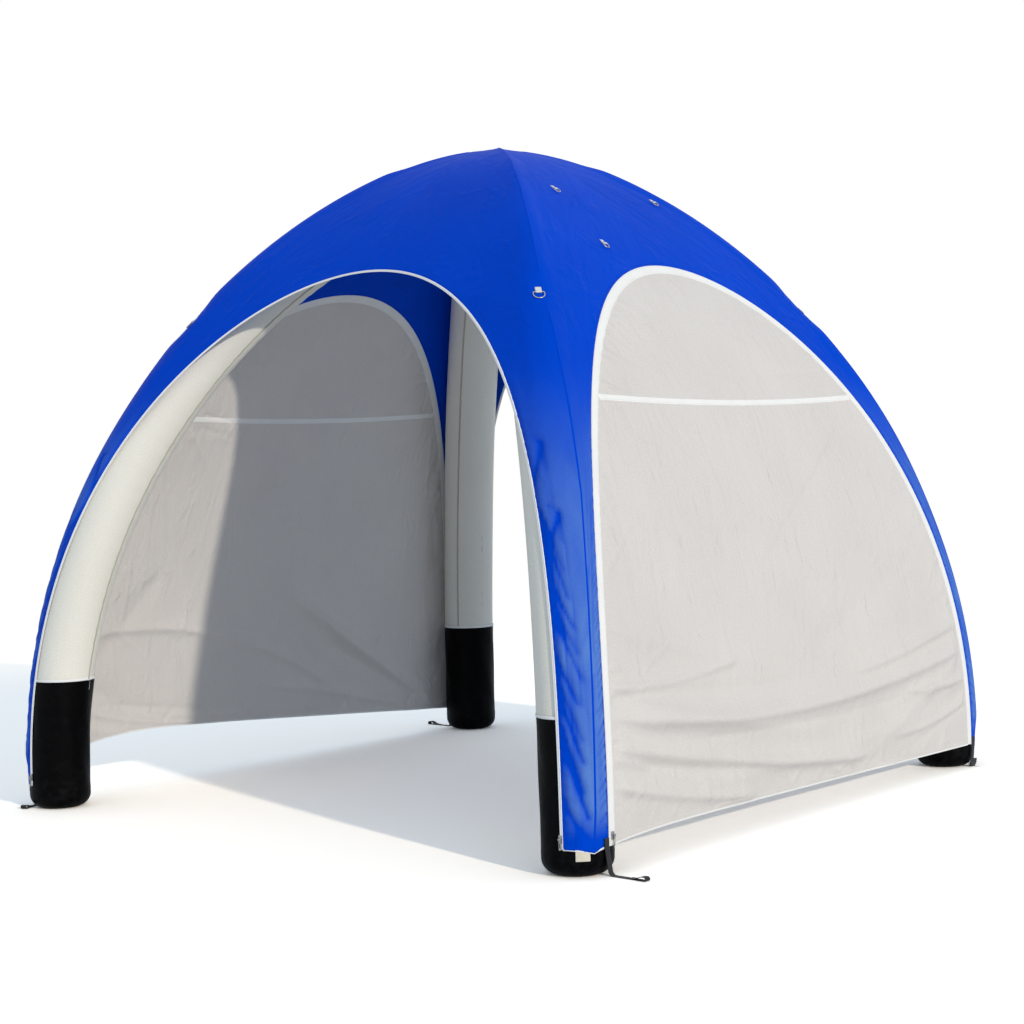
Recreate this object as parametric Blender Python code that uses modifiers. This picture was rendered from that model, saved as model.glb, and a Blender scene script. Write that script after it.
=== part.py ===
"""Four-legged inflatable tent: air beams in sleeves, a sewn roof, two zip-in walls and fittings.

Metres, +Z up. The origin is on the ground under the crown. The doorways face -Y and +Y, and the
walls close the -X and +X sides. Each side is modelled facing +X and then turned about Z, and each
leg is modelled at the front right corner (+X, -Y) and then turned about Z.
"""
import math

import bmesh
import bpy
from mathutils import Matrix, Vector

# Air beams, sleeves and feet
TUBE_RADIUS = 0.125
LEG_SPACING = 2.705
ROOF_HEIGHT = 2.72
LEG_STRAIGHT = 0.15
ARCH_POWER_SHARE = 1.235
FOOT_HEIGHT = 0.54
FOOT_ROUNDING = 0.055
SLEEVE_CLOTH = 0.0015
BLADDER_SKIN = 0.001
FOOT_SKIN = 0.0015

# Roof, doorways and walls
ROOF_CLOTH = 0.002
HEM_HEIGHT = 0.10
ARCH_TOP = 2.16
DOOR_LAP = 0.0325
WALL_LAP = 0.0025
ARCH_SHOULDER_SHARE = 0.889
ZIP_TAPE_WIDTH = 0.012
WALL_CLOTH = 0.002
TRIM_CLOTH = 0.0012
EDGE_BAND_WIDTH = 0.034
SEAM_HEIGHT = 1.598
SEAM_RISE = 0.05
SEAM_TAPE_WIDTH = 0.032
WALL_HEM_WIDTH = 0.02
# How far each wall's hem is drawn up and, as a share of its width, how soon from its front end
WALL_HEM_RISES = {"right": (0.03, 0.10), "left": (0.20, 0.09)}
FOLD_DEPTH = 0.03
FOLD_WIDTH = 0.075
FOLD_FADE = 0.16
FOLD_TAPER_SHARE = 0.6

# Clearances
CONTACT_GAP = 0.0003
TRIM_GAP = 0.0005
ZIP_GAP = 0.0006
CUT_OVERRUN = 0.25
WELD_DISTANCE = 0.00001
MIRROR_MERGE = 0.0001

# Zip sliders and their pulls
SLIDER_HEIGHT = 0.135
SLIDER_LENGTH = 0.028
SLIDER_WIDTH = 0.014
SLIDER_BASE = 0.005
SLIDER_BEVEL = 0.0012
LUG_THICKNESS = 0.002
LUG_LENGTH = 0.008
LUG_RISE = 0.0055
LUG_INSET = 0.0004
HINGE_BAR_RADIUS = 0.0012
PULL_LENGTH = 0.036
PULL_WIDTH = 0.008
PULL_THICKNESS = 0.0018
PULL_EYE_WALL = 0.0012
PULL_SLOT_LENGTH = 0.016
PULL_SLOT_WIDTH = 0.004
HINGE_CLEARANCE = 0.0004

# Tie rings with their webbing tabs
RING_HEIGHT = 2.01
RING_WIRE_RADIUS = 0.002
RING_WIDTH = 0.042
RING_DEPTH = 0.034
RING_CORNER = 0.004
TAB_WEBBING = 0.0016
TAB_SHOULDER_SHARE = 0.6
TAB_WIDTH = 0.024
TAB_LENGTH = 0.032
ROOF_RING_WIDTH = 0.030
ROOF_RING_DEPTH = 0.024
ROOF_TAB_WIDTH = 0.016
ROOF_TAB_LENGTH = 0.024
# Across the right roof panel, and up it, as shares of half its width and of the roof's height
ROOF_RING_SHARES = (("front_low", -0.47, 0.822), ("front_high", -0.72, 0.910), ("back", 0.98, 0.908))

# Anchor straps
STRAP_WIDTH = 0.025
STRAP_WEBBING = 0.002
STRAP_SEWN = 0.03
STRAP_BEND_RADIUS = 0.016
STRAP_REACH = 0.10
STRAP_LOOP_LENGTH = 0.06
STRAP_LOOP_HEIGHT = 0.014
STRAP_INSET = 0.002
STRAP_LEAN = 0.02
STRAP_HEADINGS_DEG = {"front_right": -5.0, "back_right": 113.0, "back_left": 175.0, "front_left": 293.0}

# Inflation valve
VALVE_HEIGHT = 0.78
VALVE_FLANGE_RADIUS = 0.027
VALVE_FLANGE = 0.002
VALVE_BACK_RADIUS = 0.0245
VALVE_NECK_RADIUS = 0.019
VALVE_BORE_RADIUS = 0.0155
VALVE_COLLAR_RADIUS = 0.0225
VALVE_COLLAR_HEIGHT = 0.011
VALVE_GUIDE_RADIUS = 0.003
VALVE_GUIDE_FLOOR = 0.002
PLUNGER_TRAVEL = 0.005
PLUNGER_BUTTON_RADIUS = 0.006
PLUNGER_SEAL_RADIUS = 0.012
PLUNGER_DISC = 0.002
CAP_THICKNESS = 0.004
CAP_PLUG_DEPTH = 0.001
CAP_STRAP_LENGTH = 0.012
CAP_STRAP_WIDTH = 0.008
CAP_STRAP_THICKNESS = 0.002

# Hook-and-loop patch on the front right foot
PATCH_WIDTH = 0.05
PATCH_HEIGHT = 0.05
PATCH_THICKNESS = 0.0015
PATCH_BOTTOM = 0.06

# Numbers of facets
TUBE_BEVEL_RESOLUTION = 4
BLADDER_BEVEL_RESOLUTION = 1
ARCH_STEPS = 11
FOOT_ROUND_STEPS = 3
WRAP_COLUMNS = 2
OPENING_STEPS = 15
WALL_COLUMNS = 14
LOWER_WALL_ROWS = 9
UPPER_WALL_ROWS = 5
TURN_STEPS = 16
RING_ARC_STEPS = 6
EYE_STEPS = 8
STRAP_BEND_STEPS = 3
STRAP_LOOP_STEPS = 6

SMOOTH_ANGLE_DEG = 40.0
TUBE_SIDES = 4 + 2 * TUBE_BEVEL_RESOLUTION
BLADDER_SIDES = 4 + 2 * BLADDER_BEVEL_RESOLUTION

# Sizes that follow from the ones above
HALF_SPACING = LEG_SPACING / 2
DOOR_WIDTH = LEG_SPACING + 2 * DOOR_LAP
WALL_WIDTH = LEG_SPACING - 2 * WALL_LAP
FACET_COS = math.cos(math.pi / TUBE_SIDES)
FOOT_OUTER_RADIUS = TUBE_RADIUS + (CONTACT_GAP + FOOT_SKIN) / FACET_COS
SOCK_BOTTOM = FOOT_SKIN + CONTACT_GAP
BLADDER_RADIUS = TUBE_RADIUS * FACET_COS - SLEEVE_CLOTH - 2 * CONTACT_GAP
WRAP_HALF_TURN = math.pi / 4
ROOF_RADIUS = (FOOT_OUTER_RADIUS + CONTACT_GAP) / math.cos(WRAP_HALF_TURN / WRAP_COLUMNS / 2)
ROOF_OUTER_RADIUS = ROOF_RADIUS + ROOF_CLOTH
BEAM_RISE = ROOF_HEIGHT - ROOF_OUTER_RADIUS - LEG_STRAIGHT
FOOT_ANGLE = math.asin((FOOT_HEIGHT - LEG_STRAIGHT) / BEAM_RISE)
SEAM_SPLIT = CONTACT_GAP / 2

SIDES_DEG = {"right": 0.0, "back": 90.0, "left": 180.0, "front": 270.0}
LEGS_DEG = {"front_right": 0.0, "back_right": 90.0, "back_left": 180.0, "front_left": 270.0}

# Folds of each wall, as seen from outside: start and end across and up the wall, as shares of its
# half width and height, then the depth and width as shares of the named fold
RIGHT_FOLD_SHARES = (
    (-0.97, 0.24, 0.05, 0.13, 1.0, 1.0),
    (-0.95, 0.13, 0.35, 0.05, -0.8, 0.8),
    (-0.96, 0.36, -0.25, 0.27, 0.6, 0.9),
    (0.96, 0.20, 0.35, 0.07, 0.7, 0.9),
    (-0.55, 0.08, 0.75, 0.10, 0.5, 0.7),
    (0.15, 0.30, 0.80, 0.42, -0.4, 1.2),
)
LEFT_FOLD_SHARES = (
    (-0.10, 0.34, -0.93, 0.05, -1.0, 1.0),
    (-0.35, 0.22, -0.90, 0.02, 0.8, 0.8),
    (0.95, 0.22, 0.30, 0.06, 0.9, 1.0),
    (0.90, 0.10, 0.10, 0.04, -0.6, 0.7),
    (0.55, 0.40, 0.92, 0.15, 0.5, 1.0),
)


# Scene and mesh helpers


def clear_scene():
    for item in list(bpy.data.objects):
        bpy.data.objects.remove(item, do_unlink=True)


def make_collection(name):
    collection = bpy.data.collections.new(name)
    bpy.context.scene.collection.children.link(collection)
    return collection


def make_material(name, colour, roughness, metallic=0.0):
    material = bpy.data.materials.new(name)
    material.use_nodes = True
    shader = material.node_tree.nodes["Principled BSDF"]
    shader.inputs["Base Color"].default_value = (*colour, 1.0)
    shader.inputs["Roughness"].default_value = roughness
    shader.inputs["Metallic"].default_value = metallic
    return material


def add_object(name, mesh, material=None, matrix=None, cutter=False):
    """Link a mesh as an object, into the cutters' collection or the tent's."""
    item = bpy.data.objects.new(name, mesh)
    (CUTTERS if cutter else TENT).objects.link(item)
    if matrix is not None:
        item.matrix_world = matrix
    if material is not None:
        item.data.materials.clear()
        item.data.materials.append(material)
    if cutter:
        item.hide_render = True
        item.display_type = "WIRE"
    return item


def mesh_from(name, mesh_editor, smooth=True):
    mesh = bpy.data.meshes.new(name)
    mesh_editor.to_mesh(mesh)
    mesh_editor.free()
    if smooth:
        mesh.shade_smooth()
        mesh.set_sharp_from_angle(angle=math.radians(SMOOTH_ANGLE_DEG))
    return mesh


def baked_mesh(item):
    """The evaluated mesh of an object, welded, with its place applied; the object is removed."""
    depsgraph = bpy.context.evaluated_depsgraph_get()
    depsgraph.update()
    mesh = bpy.data.meshes.new_from_object(item.evaluated_get(depsgraph))
    mesh.transform(item.matrix_world)
    editor = bmesh.new()
    editor.from_mesh(mesh)
    bmesh.ops.remove_doubles(editor, verts=editor.verts, dist=WELD_DISTANCE)
    editor.to_mesh(mesh)
    editor.free()
    bpy.data.objects.remove(item, do_unlink=True)
    return mesh


def curve_object(name, points, closed=False, flat=False):
    """A poly curve through points, each (x, y, z) or (x, y, z, radius share)."""
    curve = bpy.data.curves.new(name, "CURVE")
    curve.dimensions = "2D" if flat else "3D"
    add_spline(curve, points, closed)
    item = bpy.data.objects.new(name, curve)
    CUTTERS.objects.link(item)
    return item


def add_spline(curve, points, closed):
    spline = curve.splines.new("POLY")
    spline.points.add(len(points) - 1)
    for place, point in zip(points, spline.points):
        point.co = (place[0], place[1], place[2], 1.0)
        point.radius = place[3] if len(place) > 3 else 1.0
    spline.use_cyclic_u = closed


def wire_mesh(name, points, radius, resolution, closed=False, tilt=0.0):
    """A round wire or tube along points, with its ends capped where it is open."""
    item = curve_object(name, points, closed)
    item.data.bevel_depth = radius
    item.data.bevel_resolution = resolution
    item.data.use_fill_caps = not closed
    for point in item.data.splines[0].points:
        point.tilt = tilt
    return baked_mesh(item)


def plate_mesh(name, outline, thickness, holes=()):
    """A flat outline in the XY plane, thick along Z and centred on it, with holes."""
    item = curve_object(name, [(x, y, 0.0) for x, y in outline], closed=True, flat=True)
    for hole in holes:
        add_spline(item.data, [(x, y, 0.0) for x, y in hole], True)
    item.data.fill_mode = "BOTH"
    item.data.extrude = thickness / 2
    return baked_mesh(item)


def turned_mesh(name, profile, steps=TURN_STEPS):
    """A profile of (radius, height) points, run down its outer side, turned about Z."""
    editor = bmesh.new()
    verts = [editor.verts.new((radius, 0.0, height)) for radius, height in profile]
    for first, second in zip(verts, verts[1:]):
        editor.edges.new((first, second))
    item = bpy.data.objects.new(name, mesh_from(name, editor, smooth=False))
    CUTTERS.objects.link(item)
    screw = item.modifiers.new("turn", "SCREW")
    screw.steps = steps
    screw.render_steps = steps
    screw.use_merge_vertices = True
    screw.merge_threshold = WELD_DISTANCE
    return baked_mesh(item)


def box_mesh(name, size, bevel=0.0):
    editor = bmesh.new()
    bmesh.ops.create_cube(editor, size=1.0)
    bmesh.ops.scale(editor, vec=size, verts=editor.verts)
    if bevel:
        bmesh.ops.bevel(editor, geom=editor.edges[:], offset=bevel, segments=1, affect="EDGES")
    return mesh_from(name, editor, smooth=False)


def union_mesh(name, meshes):
    """One closed body from meshes that run into each other."""
    base = bpy.data.objects.new(name, meshes[0])
    CUTTERS.objects.link(base)
    helpers = []
    for number, mesh in enumerate(meshes[1:]):
        helper = bpy.data.objects.new(f"{name}_{number}", mesh)
        CUTTERS.objects.link(helper)
        boolean(base, helper, "UNION")
        helpers.append(helper)
    merged = baked_mesh(base)
    for helper in helpers:
        bpy.data.objects.remove(helper, do_unlink=True)
    return merged


def boolean(item, cutter, operation="DIFFERENCE"):
    modifier = item.modifiers.new(operation.lower(), "BOOLEAN")
    modifier.operation = operation
    modifier.object = cutter
    modifier.solver = "EXACT"


def solidify(item, low, high):
    """Give an open surface its wall, from low to high along its normals."""
    modifier = item.modifiers.new("wall", "SOLIDIFY")
    modifier.thickness = high - low
    modifier.offset = 2 * high / (high - low) - 1
    modifier.use_even_offset = True
    modifier.use_quality_normals = True


def grid_mesh(name, columns, rows, place, outward):
    """A grid of columns by rows, each corner put where place(column, row) says, facing outward."""
    editor = bmesh.new()
    corners = [[editor.verts.new(place(c, r)) for c in range(columns + 1)] for r in range(rows + 1)]
    for lower, upper in zip(corners, corners[1:]):
        for c in range(columns):
            editor.faces.new((lower[c], lower[c + 1], upper[c + 1], upper[c]))
    bmesh.ops.remove_doubles(editor, verts=editor.verts, dist=WELD_DISTANCE)
    bmesh.ops.triangulate(editor, faces=editor.faces)
    editor.normal_update()
    facing = sum(face.normal.dot(Vector(outward)) * face.calc_area() for face in editor.faces)
    if facing < 0:
        bmesh.ops.reverse_faces(editor, faces=editor.faces)
    return mesh_from(name, editor)


def turned_place(degrees):
    return Matrix.Rotation(math.radians(degrees), 4, "Z")


# The air beam's centre line and the surfaces round it


def beam_centre(angle):
    """Reach from the tent's middle along one side, and height, at an angle up the arch."""
    reach = HALF_SPACING * math.cos(angle) ** ARCH_POWER_SHARE
    return reach, LEG_STRAIGHT + BEAM_RISE * math.sin(angle)


def beam_normal(angle, spread=1.0):
    """Outward normal of the beam's line in side view; spread scales the reach."""
    rise = BEAM_RISE * math.cos(angle) ** (2 - ARCH_POWER_SHARE)
    run = ARCH_POWER_SHARE * HALF_SPACING * spread * math.sin(angle)
    length = math.hypot(rise, run)
    return rise / length, run / length


def arch_angles():
    """Angles of the rings from the top of the straight leg to the crown."""
    rest = math.pi / 2 - FOOT_ANGLE
    upper = [FOOT_ANGLE + rest * step / ARCH_STEPS for step in range(ARCH_STEPS)]
    return [0.0, FOOT_ANGLE / 2] + upper + [math.pi / 2]


def leg_points(bottom):
    """Points up the front right beam: rounded bottom, straight leg, the arch and a step past it."""
    points = []
    for step in range(FOOT_ROUND_STEPS + 1):
        turn = math.pi / 2 * step / FOOT_ROUND_STEPS
        height = bottom + FOOT_ROUNDING * (1 - math.cos(turn))
        share = 1 - FOOT_ROUNDING / TUBE_RADIUS * (1 - math.sin(turn))
        points.append((HALF_SPACING, -HALF_SPACING, height, share))
    for angle in arch_angles():
        reach, height = beam_centre(angle)
        points.append((reach, -reach, height, 1.0))
    before = points[-2][0]
    points.append((-before, before, points[-1][2], 1.0))
    return points


def cut_past(mesh, planes):
    """Cut away what lies past each plane, given by a point on it and its normal."""
    editor = bmesh.new()
    editor.from_mesh(mesh)
    for point, normal in planes:
        geometry = editor.verts[:] + editor.edges[:] + editor.faces[:]
        bmesh.ops.bisect_plane(editor, geom=geometry, plane_co=point, plane_no=normal,
                               dist=WELD_DISTANCE, clear_outer=True)
    editor.to_mesh(mesh)
    editor.free()


def leg_surface(name, radius, resolution, planes, tilt=0.0, bottom=SOCK_BOTTOM):
    """The open skin of the front right beam, closed below and cut off past the planes."""
    mesh = wire_mesh(name, leg_points(bottom), radius, resolution, tilt=tilt)
    cut_past(mesh, planes)
    mesh.shade_smooth()
    mesh.set_sharp_from_angle(angle=math.radians(SMOOTH_ANGLE_DEG))
    return mesh


def mitre_planes(gap):
    """The upright planes through the crown that keep the front right quarter."""
    return ((gap, 0, 0), (-1, 0, 0)), ((0, -gap, 0), (0, 1, 0))


def side_reach(height):
    """Reach of the roof panel's inner face at a height, along the chords between its rings."""
    lower = (HALF_SPACING + ROOF_RADIUS, LEG_STRAIGHT)
    for angle in arch_angles():
        centre, normal = beam_centre(angle), beam_normal(angle)
        upper = (centre[0] + ROOF_RADIUS * normal[0], centre[1] + ROOF_RADIUS * normal[1])
        if height < upper[1]:
            break
        lower = upper
    if height <= LEG_STRAIGHT:
        return lower[0]
    share = (height - lower[1]) / (upper[1] - lower[1])
    return lower[0] + (upper[0] - lower[0]) * share


# Sleeves, bladder, feet


def build_legs():
    foot_top = ((0, 0, FOOT_HEIGHT), (0, 0, 1))
    sleeve_skin = leg_surface("sleeve", TUBE_RADIUS, TUBE_BEVEL_RESOLUTION, mitre_planes(SEAM_SPLIT))
    foot_skin = leg_surface("foot_cover", TUBE_RADIUS, TUBE_BEVEL_RESOLUTION, [foot_top])
    for leg, degrees in LEGS_DEG.items():
        sleeve = add_object(f"leg_sleeve_{leg}", sleeve_skin.copy(), IVORY_CLOTH, turned_place(degrees))
        solidify(sleeve, -SLEEVE_CLOTH, 0.0)
        foot = add_object(f"foot_cover_{leg}", foot_skin.copy(), BLACK_VINYL, turned_place(degrees))
        solidify(foot, CONTACT_GAP, CONTACT_GAP + FOOT_SKIN)
        if leg == "front_right":
            boolean(sleeve, VALVE_HOLE)


def build_bladder():
    """One air chamber of four arms, mirrored from the front right arm and open at its valve."""
    tilt = math.pi / BLADDER_SIDES - math.pi / 4
    bottom = SOCK_BOTTOM + SLEEVE_CLOTH + 2 * CONTACT_GAP
    skin = leg_surface("bladder", BLADDER_RADIUS, BLADDER_BEVEL_RESOLUTION, mitre_planes(0.0), tilt, bottom)
    bladder = add_object("air_bladder", skin, CLEAR_FILM)
    mirror = bladder.modifiers.new("four arms", "MIRROR")
    mirror.use_axis = (True, True, False)
    mirror.use_clip = True
    mirror.merge_threshold = MIRROR_MERGE
    solidify(bladder, -BLADDER_SKIN, 0.0)
    boolean(bladder, VALVE_HOLE)


# Roof panels and doorway zips


def roof_place(column, row):
    """A corner of the right roof panel: wrapped round each beam, straight between them."""
    flat_start = WRAP_COLUMNS
    front = column <= flat_start
    step = flat_start - column if front else column - flat_start - 1
    angles = arch_angles()
    if row == 0:
        centre, normal = (HALF_SPACING, HEM_HEIGHT), (1.0, 0.0)
    else:
        angle = angles[row - 1]
        centre, normal = beam_centre(angle), beam_normal(angle)
    across = -1 if front else 1
    side_normal = Vector((normal[0], 0.0, normal[1]))
    end_normal = Vector((0.0, across * normal[0], normal[1]))
    share = step / WRAP_COLUMNS / 2
    direction = side_normal.slerp(end_normal, share) if normal[0] > 0 and share > 0 else side_normal
    return Vector((centre[0], across * centre[0], centre[1])) + direction * ROOF_RADIUS


def roof_panel_mesh():
    rows = len(arch_angles())
    mesh = grid_mesh("roof_panel", 2 * WRAP_COLUMNS + 1, rows, roof_place, (1, 0, 0))
    seam = (CONTACT_GAP, 0, 0)
    cut_past(mesh, [(seam, (-1, across, 0)) for across in (-1, 1)])
    return mesh


def arch_outline(width, inset):
    """Points of an opening's outline, across and up, drawn in by an inset."""
    half = width / 2 - inset
    rise = ARCH_TOP - HEM_HEIGHT - inset
    points = [(half, -CUT_OVERRUN)]
    for step in range(2 * OPENING_STEPS + 1):
        turn = math.pi * step / (2 * OPENING_STEPS)
        lift = math.sin(turn) ** ARCH_SHOULDER_SHARE
        points.append((half * math.cos(turn), HEM_HEIGHT + rise * lift))
    points.append((-half, -CUT_OVERRUN))
    return points


def arch_cutter(name, width, inset, degrees, inner_inset=None):
    """A prism of an opening's outline, or of the band along it, across the side that faces a way."""
    depth = LEG_SPACING / 2
    outline = arch_outline(width, inset)
    if inner_inset is not None:
        outline += reversed(arch_outline(width, inner_inset))
    mesh = plate_mesh(name, outline, depth)
    upright = Matrix(((0, 0, 1, 0), (1, 0, 0, 0), (0, 1, 0, 0), (0, 0, 0, 1)))
    outward = Matrix.Translation((depth / 2 + CUT_OVERRUN, 0, 0))
    return add_object(name, mesh, matrix=turned_place(degrees) @ outward @ upright, cutter=True)


def build_roof():
    panel = roof_panel_mesh()
    for side, degrees in SIDES_DEG.items():
        width = WALL_WIDTH if side in ("right", "left") else DOOR_WIDTH
        roof = add_object(f"roof_panel_{side}", panel.copy(), BLUE_CLOTH, turned_place(degrees))
        solidify(roof, 0.0, ROOF_CLOTH)
        boolean(roof, arch_cutter(f"cut_opening_{side}", width, 0.0, degrees))


def build_door_zips():
    panel = roof_panel_mesh()
    for side in ("front", "back"):
        degrees = SIDES_DEG[side]
        tape = add_object(f"door_zip_{side}", panel.copy(), WHITE_TAPE, turned_place(degrees))
        solidify(tape, 0.0, ROOF_CLOTH)
        edge = arch_cutter(f"cut_zip_{side}", DOOR_WIDTH, ZIP_GAP, degrees, ZIP_TAPE_WIDTH)
        boolean(tape, edge, "INTERSECT")


# Walls


def wall_half_width(height):
    """Half the wall's width at a height, following its arched edge."""
    rise = ARCH_TOP - HEM_HEIGHT - ZIP_GAP
    lift = min(max((height - HEM_HEIGHT) / rise, 0.0), 1.0)
    turn = math.asin(lift ** (1 / ARCH_SHOULDER_SHARE))
    return (WALL_WIDTH / 2 - ZIP_GAP) * math.cos(turn)


def smooth_share(distance):
    """From 0 to 1 over the length in which folds fade."""
    share = min(max(distance / FOLD_FADE, 0.0), 1.0)
    return share * share * (3 - 2 * share)


def fold_offset(across, height, folds):
    """How far the folds push the wall out or in, fading out at its edge and in front of the beams."""
    rise = ARCH_TOP - HEM_HEIGHT
    edge = min(wall_half_width(height) - abs(across), ARCH_TOP - height)
    fade_out = smooth_share(edge - EDGE_BAND_WIDTH)
    fade_in = smooth_share(edge - FOOT_OUTER_RADIUS)
    offset = 0.0
    for start_across, start_up, end_across, end_up, depth, width in folds:
        start = Vector((start_across * WALL_WIDTH / 2, HEM_HEIGHT + start_up * rise))
        end = Vector((end_across * WALL_WIDTH / 2, HEM_HEIGHT + end_up * rise))
        run = end - start
        along = (Vector((across, height)) - start).dot(run) / run.length_squared
        share = min(max(along, 0.0), 1.0)
        distance = (Vector((across, height)) - start - run * share).length
        ridge = math.exp(-((distance / (width * FOLD_WIDTH)) ** 2))
        fade = fade_out if depth > 0 else fade_in
        offset += depth * FOLD_DEPTH * ridge * (1 - FOLD_TAPER_SHARE * share) * fade
    return offset


def seam_line(share):
    return SEAM_HEIGHT + SEAM_RISE * share * share


def hem_line(side, share):
    """Height of a wall's hem at a share of its half width, drawn up most near its front end."""
    rise, near = WALL_HEM_RISES[side]
    ahead = (1 + share) / 2 if side == "right" else (1 - share) / 2
    place = min(max(ahead, 0.0), 1.0)
    return HEM_HEIGHT + rise * (1 - place) * (1 - math.exp(-place / near))


def wall_rows():
    """Rows up the wall, as (bottom, top, share between them) with bottom and top named lines."""
    low = [("hem", 0.0), ("hem", WALL_HEM_WIDTH)]
    low += [("lower", step / LOWER_WALL_ROWS) for step in range(1, LOWER_WALL_ROWS)]
    low += [("seam", -SEAM_TAPE_WIDTH / 2), ("seam", -SEAM_SPLIT)]
    high = [("seam", SEAM_SPLIT), ("seam", SEAM_TAPE_WIDTH / 2)]
    high += [("upper", step / UPPER_WALL_ROWS) for step in range(1, UPPER_WALL_ROWS + 1)]
    return low, high


def row_height(side, row, share):
    """Height of a row of a side's wall at a share of its half width."""
    kind, value = row
    seam = seam_line(share)
    hem = hem_line(side, share)
    if kind == "hem":
        return hem + value
    if kind == "seam":
        return seam + value
    if kind == "lower":
        bottom = hem + WALL_HEM_WIDTH
        return bottom + (seam - SEAM_TAPE_WIDTH / 2 - bottom) * value
    bottom = seam + SEAM_TAPE_WIDTH / 2
    return bottom + (ARCH_TOP + EDGE_BAND_WIDTH - bottom) * value


def wall_columns():
    """Places across the wall: its overlong ends, its bands' inner edges and even steps between."""
    steps = WALL_COLUMNS - 2
    inner = WALL_WIDTH / 2 - EDGE_BAND_WIDTH
    even = [inner * (2 * step / steps - 1) for step in range(steps + 1)]
    end = WALL_WIDTH / 2 + EDGE_BAND_WIDTH
    return [-end] + even + [end]


def wall_skin(side, name, rows, folds):
    """A stretch of a side's cloth between the given rows, overlong where an arch cuts it."""
    columns = wall_columns()

    def place(column, number):
        across = columns[column]
        height = row_height(side, rows[number], 2 * across / WALL_WIDTH)
        reach = side_reach(height) + fold_offset(across, height, folds)
        return Vector((reach, across, height))

    return grid_mesh(name, WALL_COLUMNS, len(rows) - 1, place, (1, 0, 0))


def build_wall(side, folds):
    """Two cloth widths joined by a seam tape, with a zip band round the arch and a hem."""
    degrees = SIDES_DEG[side]
    place = turned_place(degrees)
    low, high = wall_rows()
    edge = arch_cutter(f"cut_edge_{side}", WALL_WIDTH, ZIP_GAP, degrees)
    edge_only = arch_cutter(f"cut_band_{side}", WALL_WIDTH, ZIP_GAP, degrees, EDGE_BAND_WIDTH)
    inside_band = arch_cutter(f"cut_trim_{side}", WALL_WIDTH, EDGE_BAND_WIDTH + TRIM_GAP, degrees)
    trim_low = WALL_CLOTH + TRIM_GAP
    trim_high = trim_low + TRIM_CLOTH
    lower = add_object(f"wall_{side}_lower", wall_skin(side, "lower", low, folds), PALE_CLOTH, place)
    upper = add_object(f"wall_{side}_upper", wall_skin(side, "upper", high, folds), PALE_CLOTH, place)
    for cloth in (lower, upper):
        solidify(cloth, 0.0, WALL_CLOTH)
        boolean(cloth, edge, "INTERSECT")
    band_skin = wall_skin(side, "band", low + high, folds)
    band = add_object(f"wall_{side}_edge_band", band_skin, WHITE_TAPE, place)
    solidify(band, trim_low, trim_high)
    boolean(band, edge_only, "INTERSECT")
    seam_rows = low[-2:] + high[:2]
    for name, rows in (("seam_tape", seam_rows), ("hem", low[:2])):
        skin = wall_skin(side, name, rows, folds)
        trim = add_object(f"wall_{side}_{name}", skin, WHITE_TAPE, place)
        solidify(trim, trim_low, trim_high)
        boolean(trim, inside_band, "INTERSECT")


# Zip sliders and pulls


def slider_mesh():
    """A slider whose back lies on the local YZ plane, with a bar between two lugs on its face."""
    base = box_mesh("slider_base", (SLIDER_BASE, SLIDER_WIDTH, SLIDER_LENGTH), SLIDER_BEVEL)
    base.transform(Matrix.Translation((SLIDER_BASE / 2, 0, 0)))
    pieces = [base]
    rise = LUG_RISE + SLIDER_BASE / 2
    for side in (-1, 1):
        lug = box_mesh("slider_lug", (rise, LUG_THICKNESS, LUG_LENGTH))
        across = side * ((SLIDER_WIDTH - LUG_THICKNESS) / 2 - LUG_INSET)
        lug.transform(Matrix.Translation((SLIDER_BASE / 2 + rise / 2, across, 0)))
        pieces.append(lug)
    reach = SLIDER_WIDTH / 2 - LUG_THICKNESS / 2
    ends = [(hinge_bar_reach(), -reach, 0.0), (hinge_bar_reach(), reach, 0.0)]
    pieces.append(wire_mesh("slider_bar", ends, HINGE_BAR_RADIUS, 1))
    return union_mesh("zip_slider", pieces)


def hinge_bar_reach():
    return SLIDER_BASE + LUG_RISE - 2 * HINGE_BAR_RADIUS


def circle_points(radius, steps, start=0.0, sweep=2 * math.pi):
    turns = steps if sweep < 2 * math.pi else steps - 1
    span = sweep / steps
    return [(radius * math.cos(start + span * n), radius * math.sin(start + span * n))
            for n in range(turns + 1)]


def pull_mesh():
    """A pull that hangs from the origin along -Z, with an eye round the slider's bar along Y."""
    bore = HINGE_BAR_RADIUS + HINGE_CLEARANCE
    outer = bore + PULL_EYE_WALL
    half = PULL_THICKNESS / 2
    lean = math.asin(half / outer)
    arc = circle_points(outer, EYE_STEPS, -math.pi / 2 + lean, 2 * math.pi - 2 * lean)
    outline = arc + [(-half, -PULL_LENGTH), (half, -PULL_LENGTH)]
    plate = plate_mesh("pull_plate", outline, PULL_WIDTH, [circle_points(bore, EYE_STEPS)])
    upright = Matrix(((1, 0, 0, 0), (0, 0, -1, 0), (0, 1, 0, 0), (0, 0, 0, 1)))
    plate.transform(upright)
    pull = bpy.data.objects.new("pull", plate)
    CUTTERS.objects.link(pull)
    slot = box_mesh("pull_slot", (2 * PULL_THICKNESS, PULL_SLOT_WIDTH, PULL_SLOT_LENGTH))
    slot.transform(Matrix.Translation((0, 0, -PULL_LENGTH + PULL_SLOT_LENGTH)))
    cutter = add_object("cut_pull_slot", slot, cutter=True)
    boolean(pull, cutter)
    return baked_mesh(pull)


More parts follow.
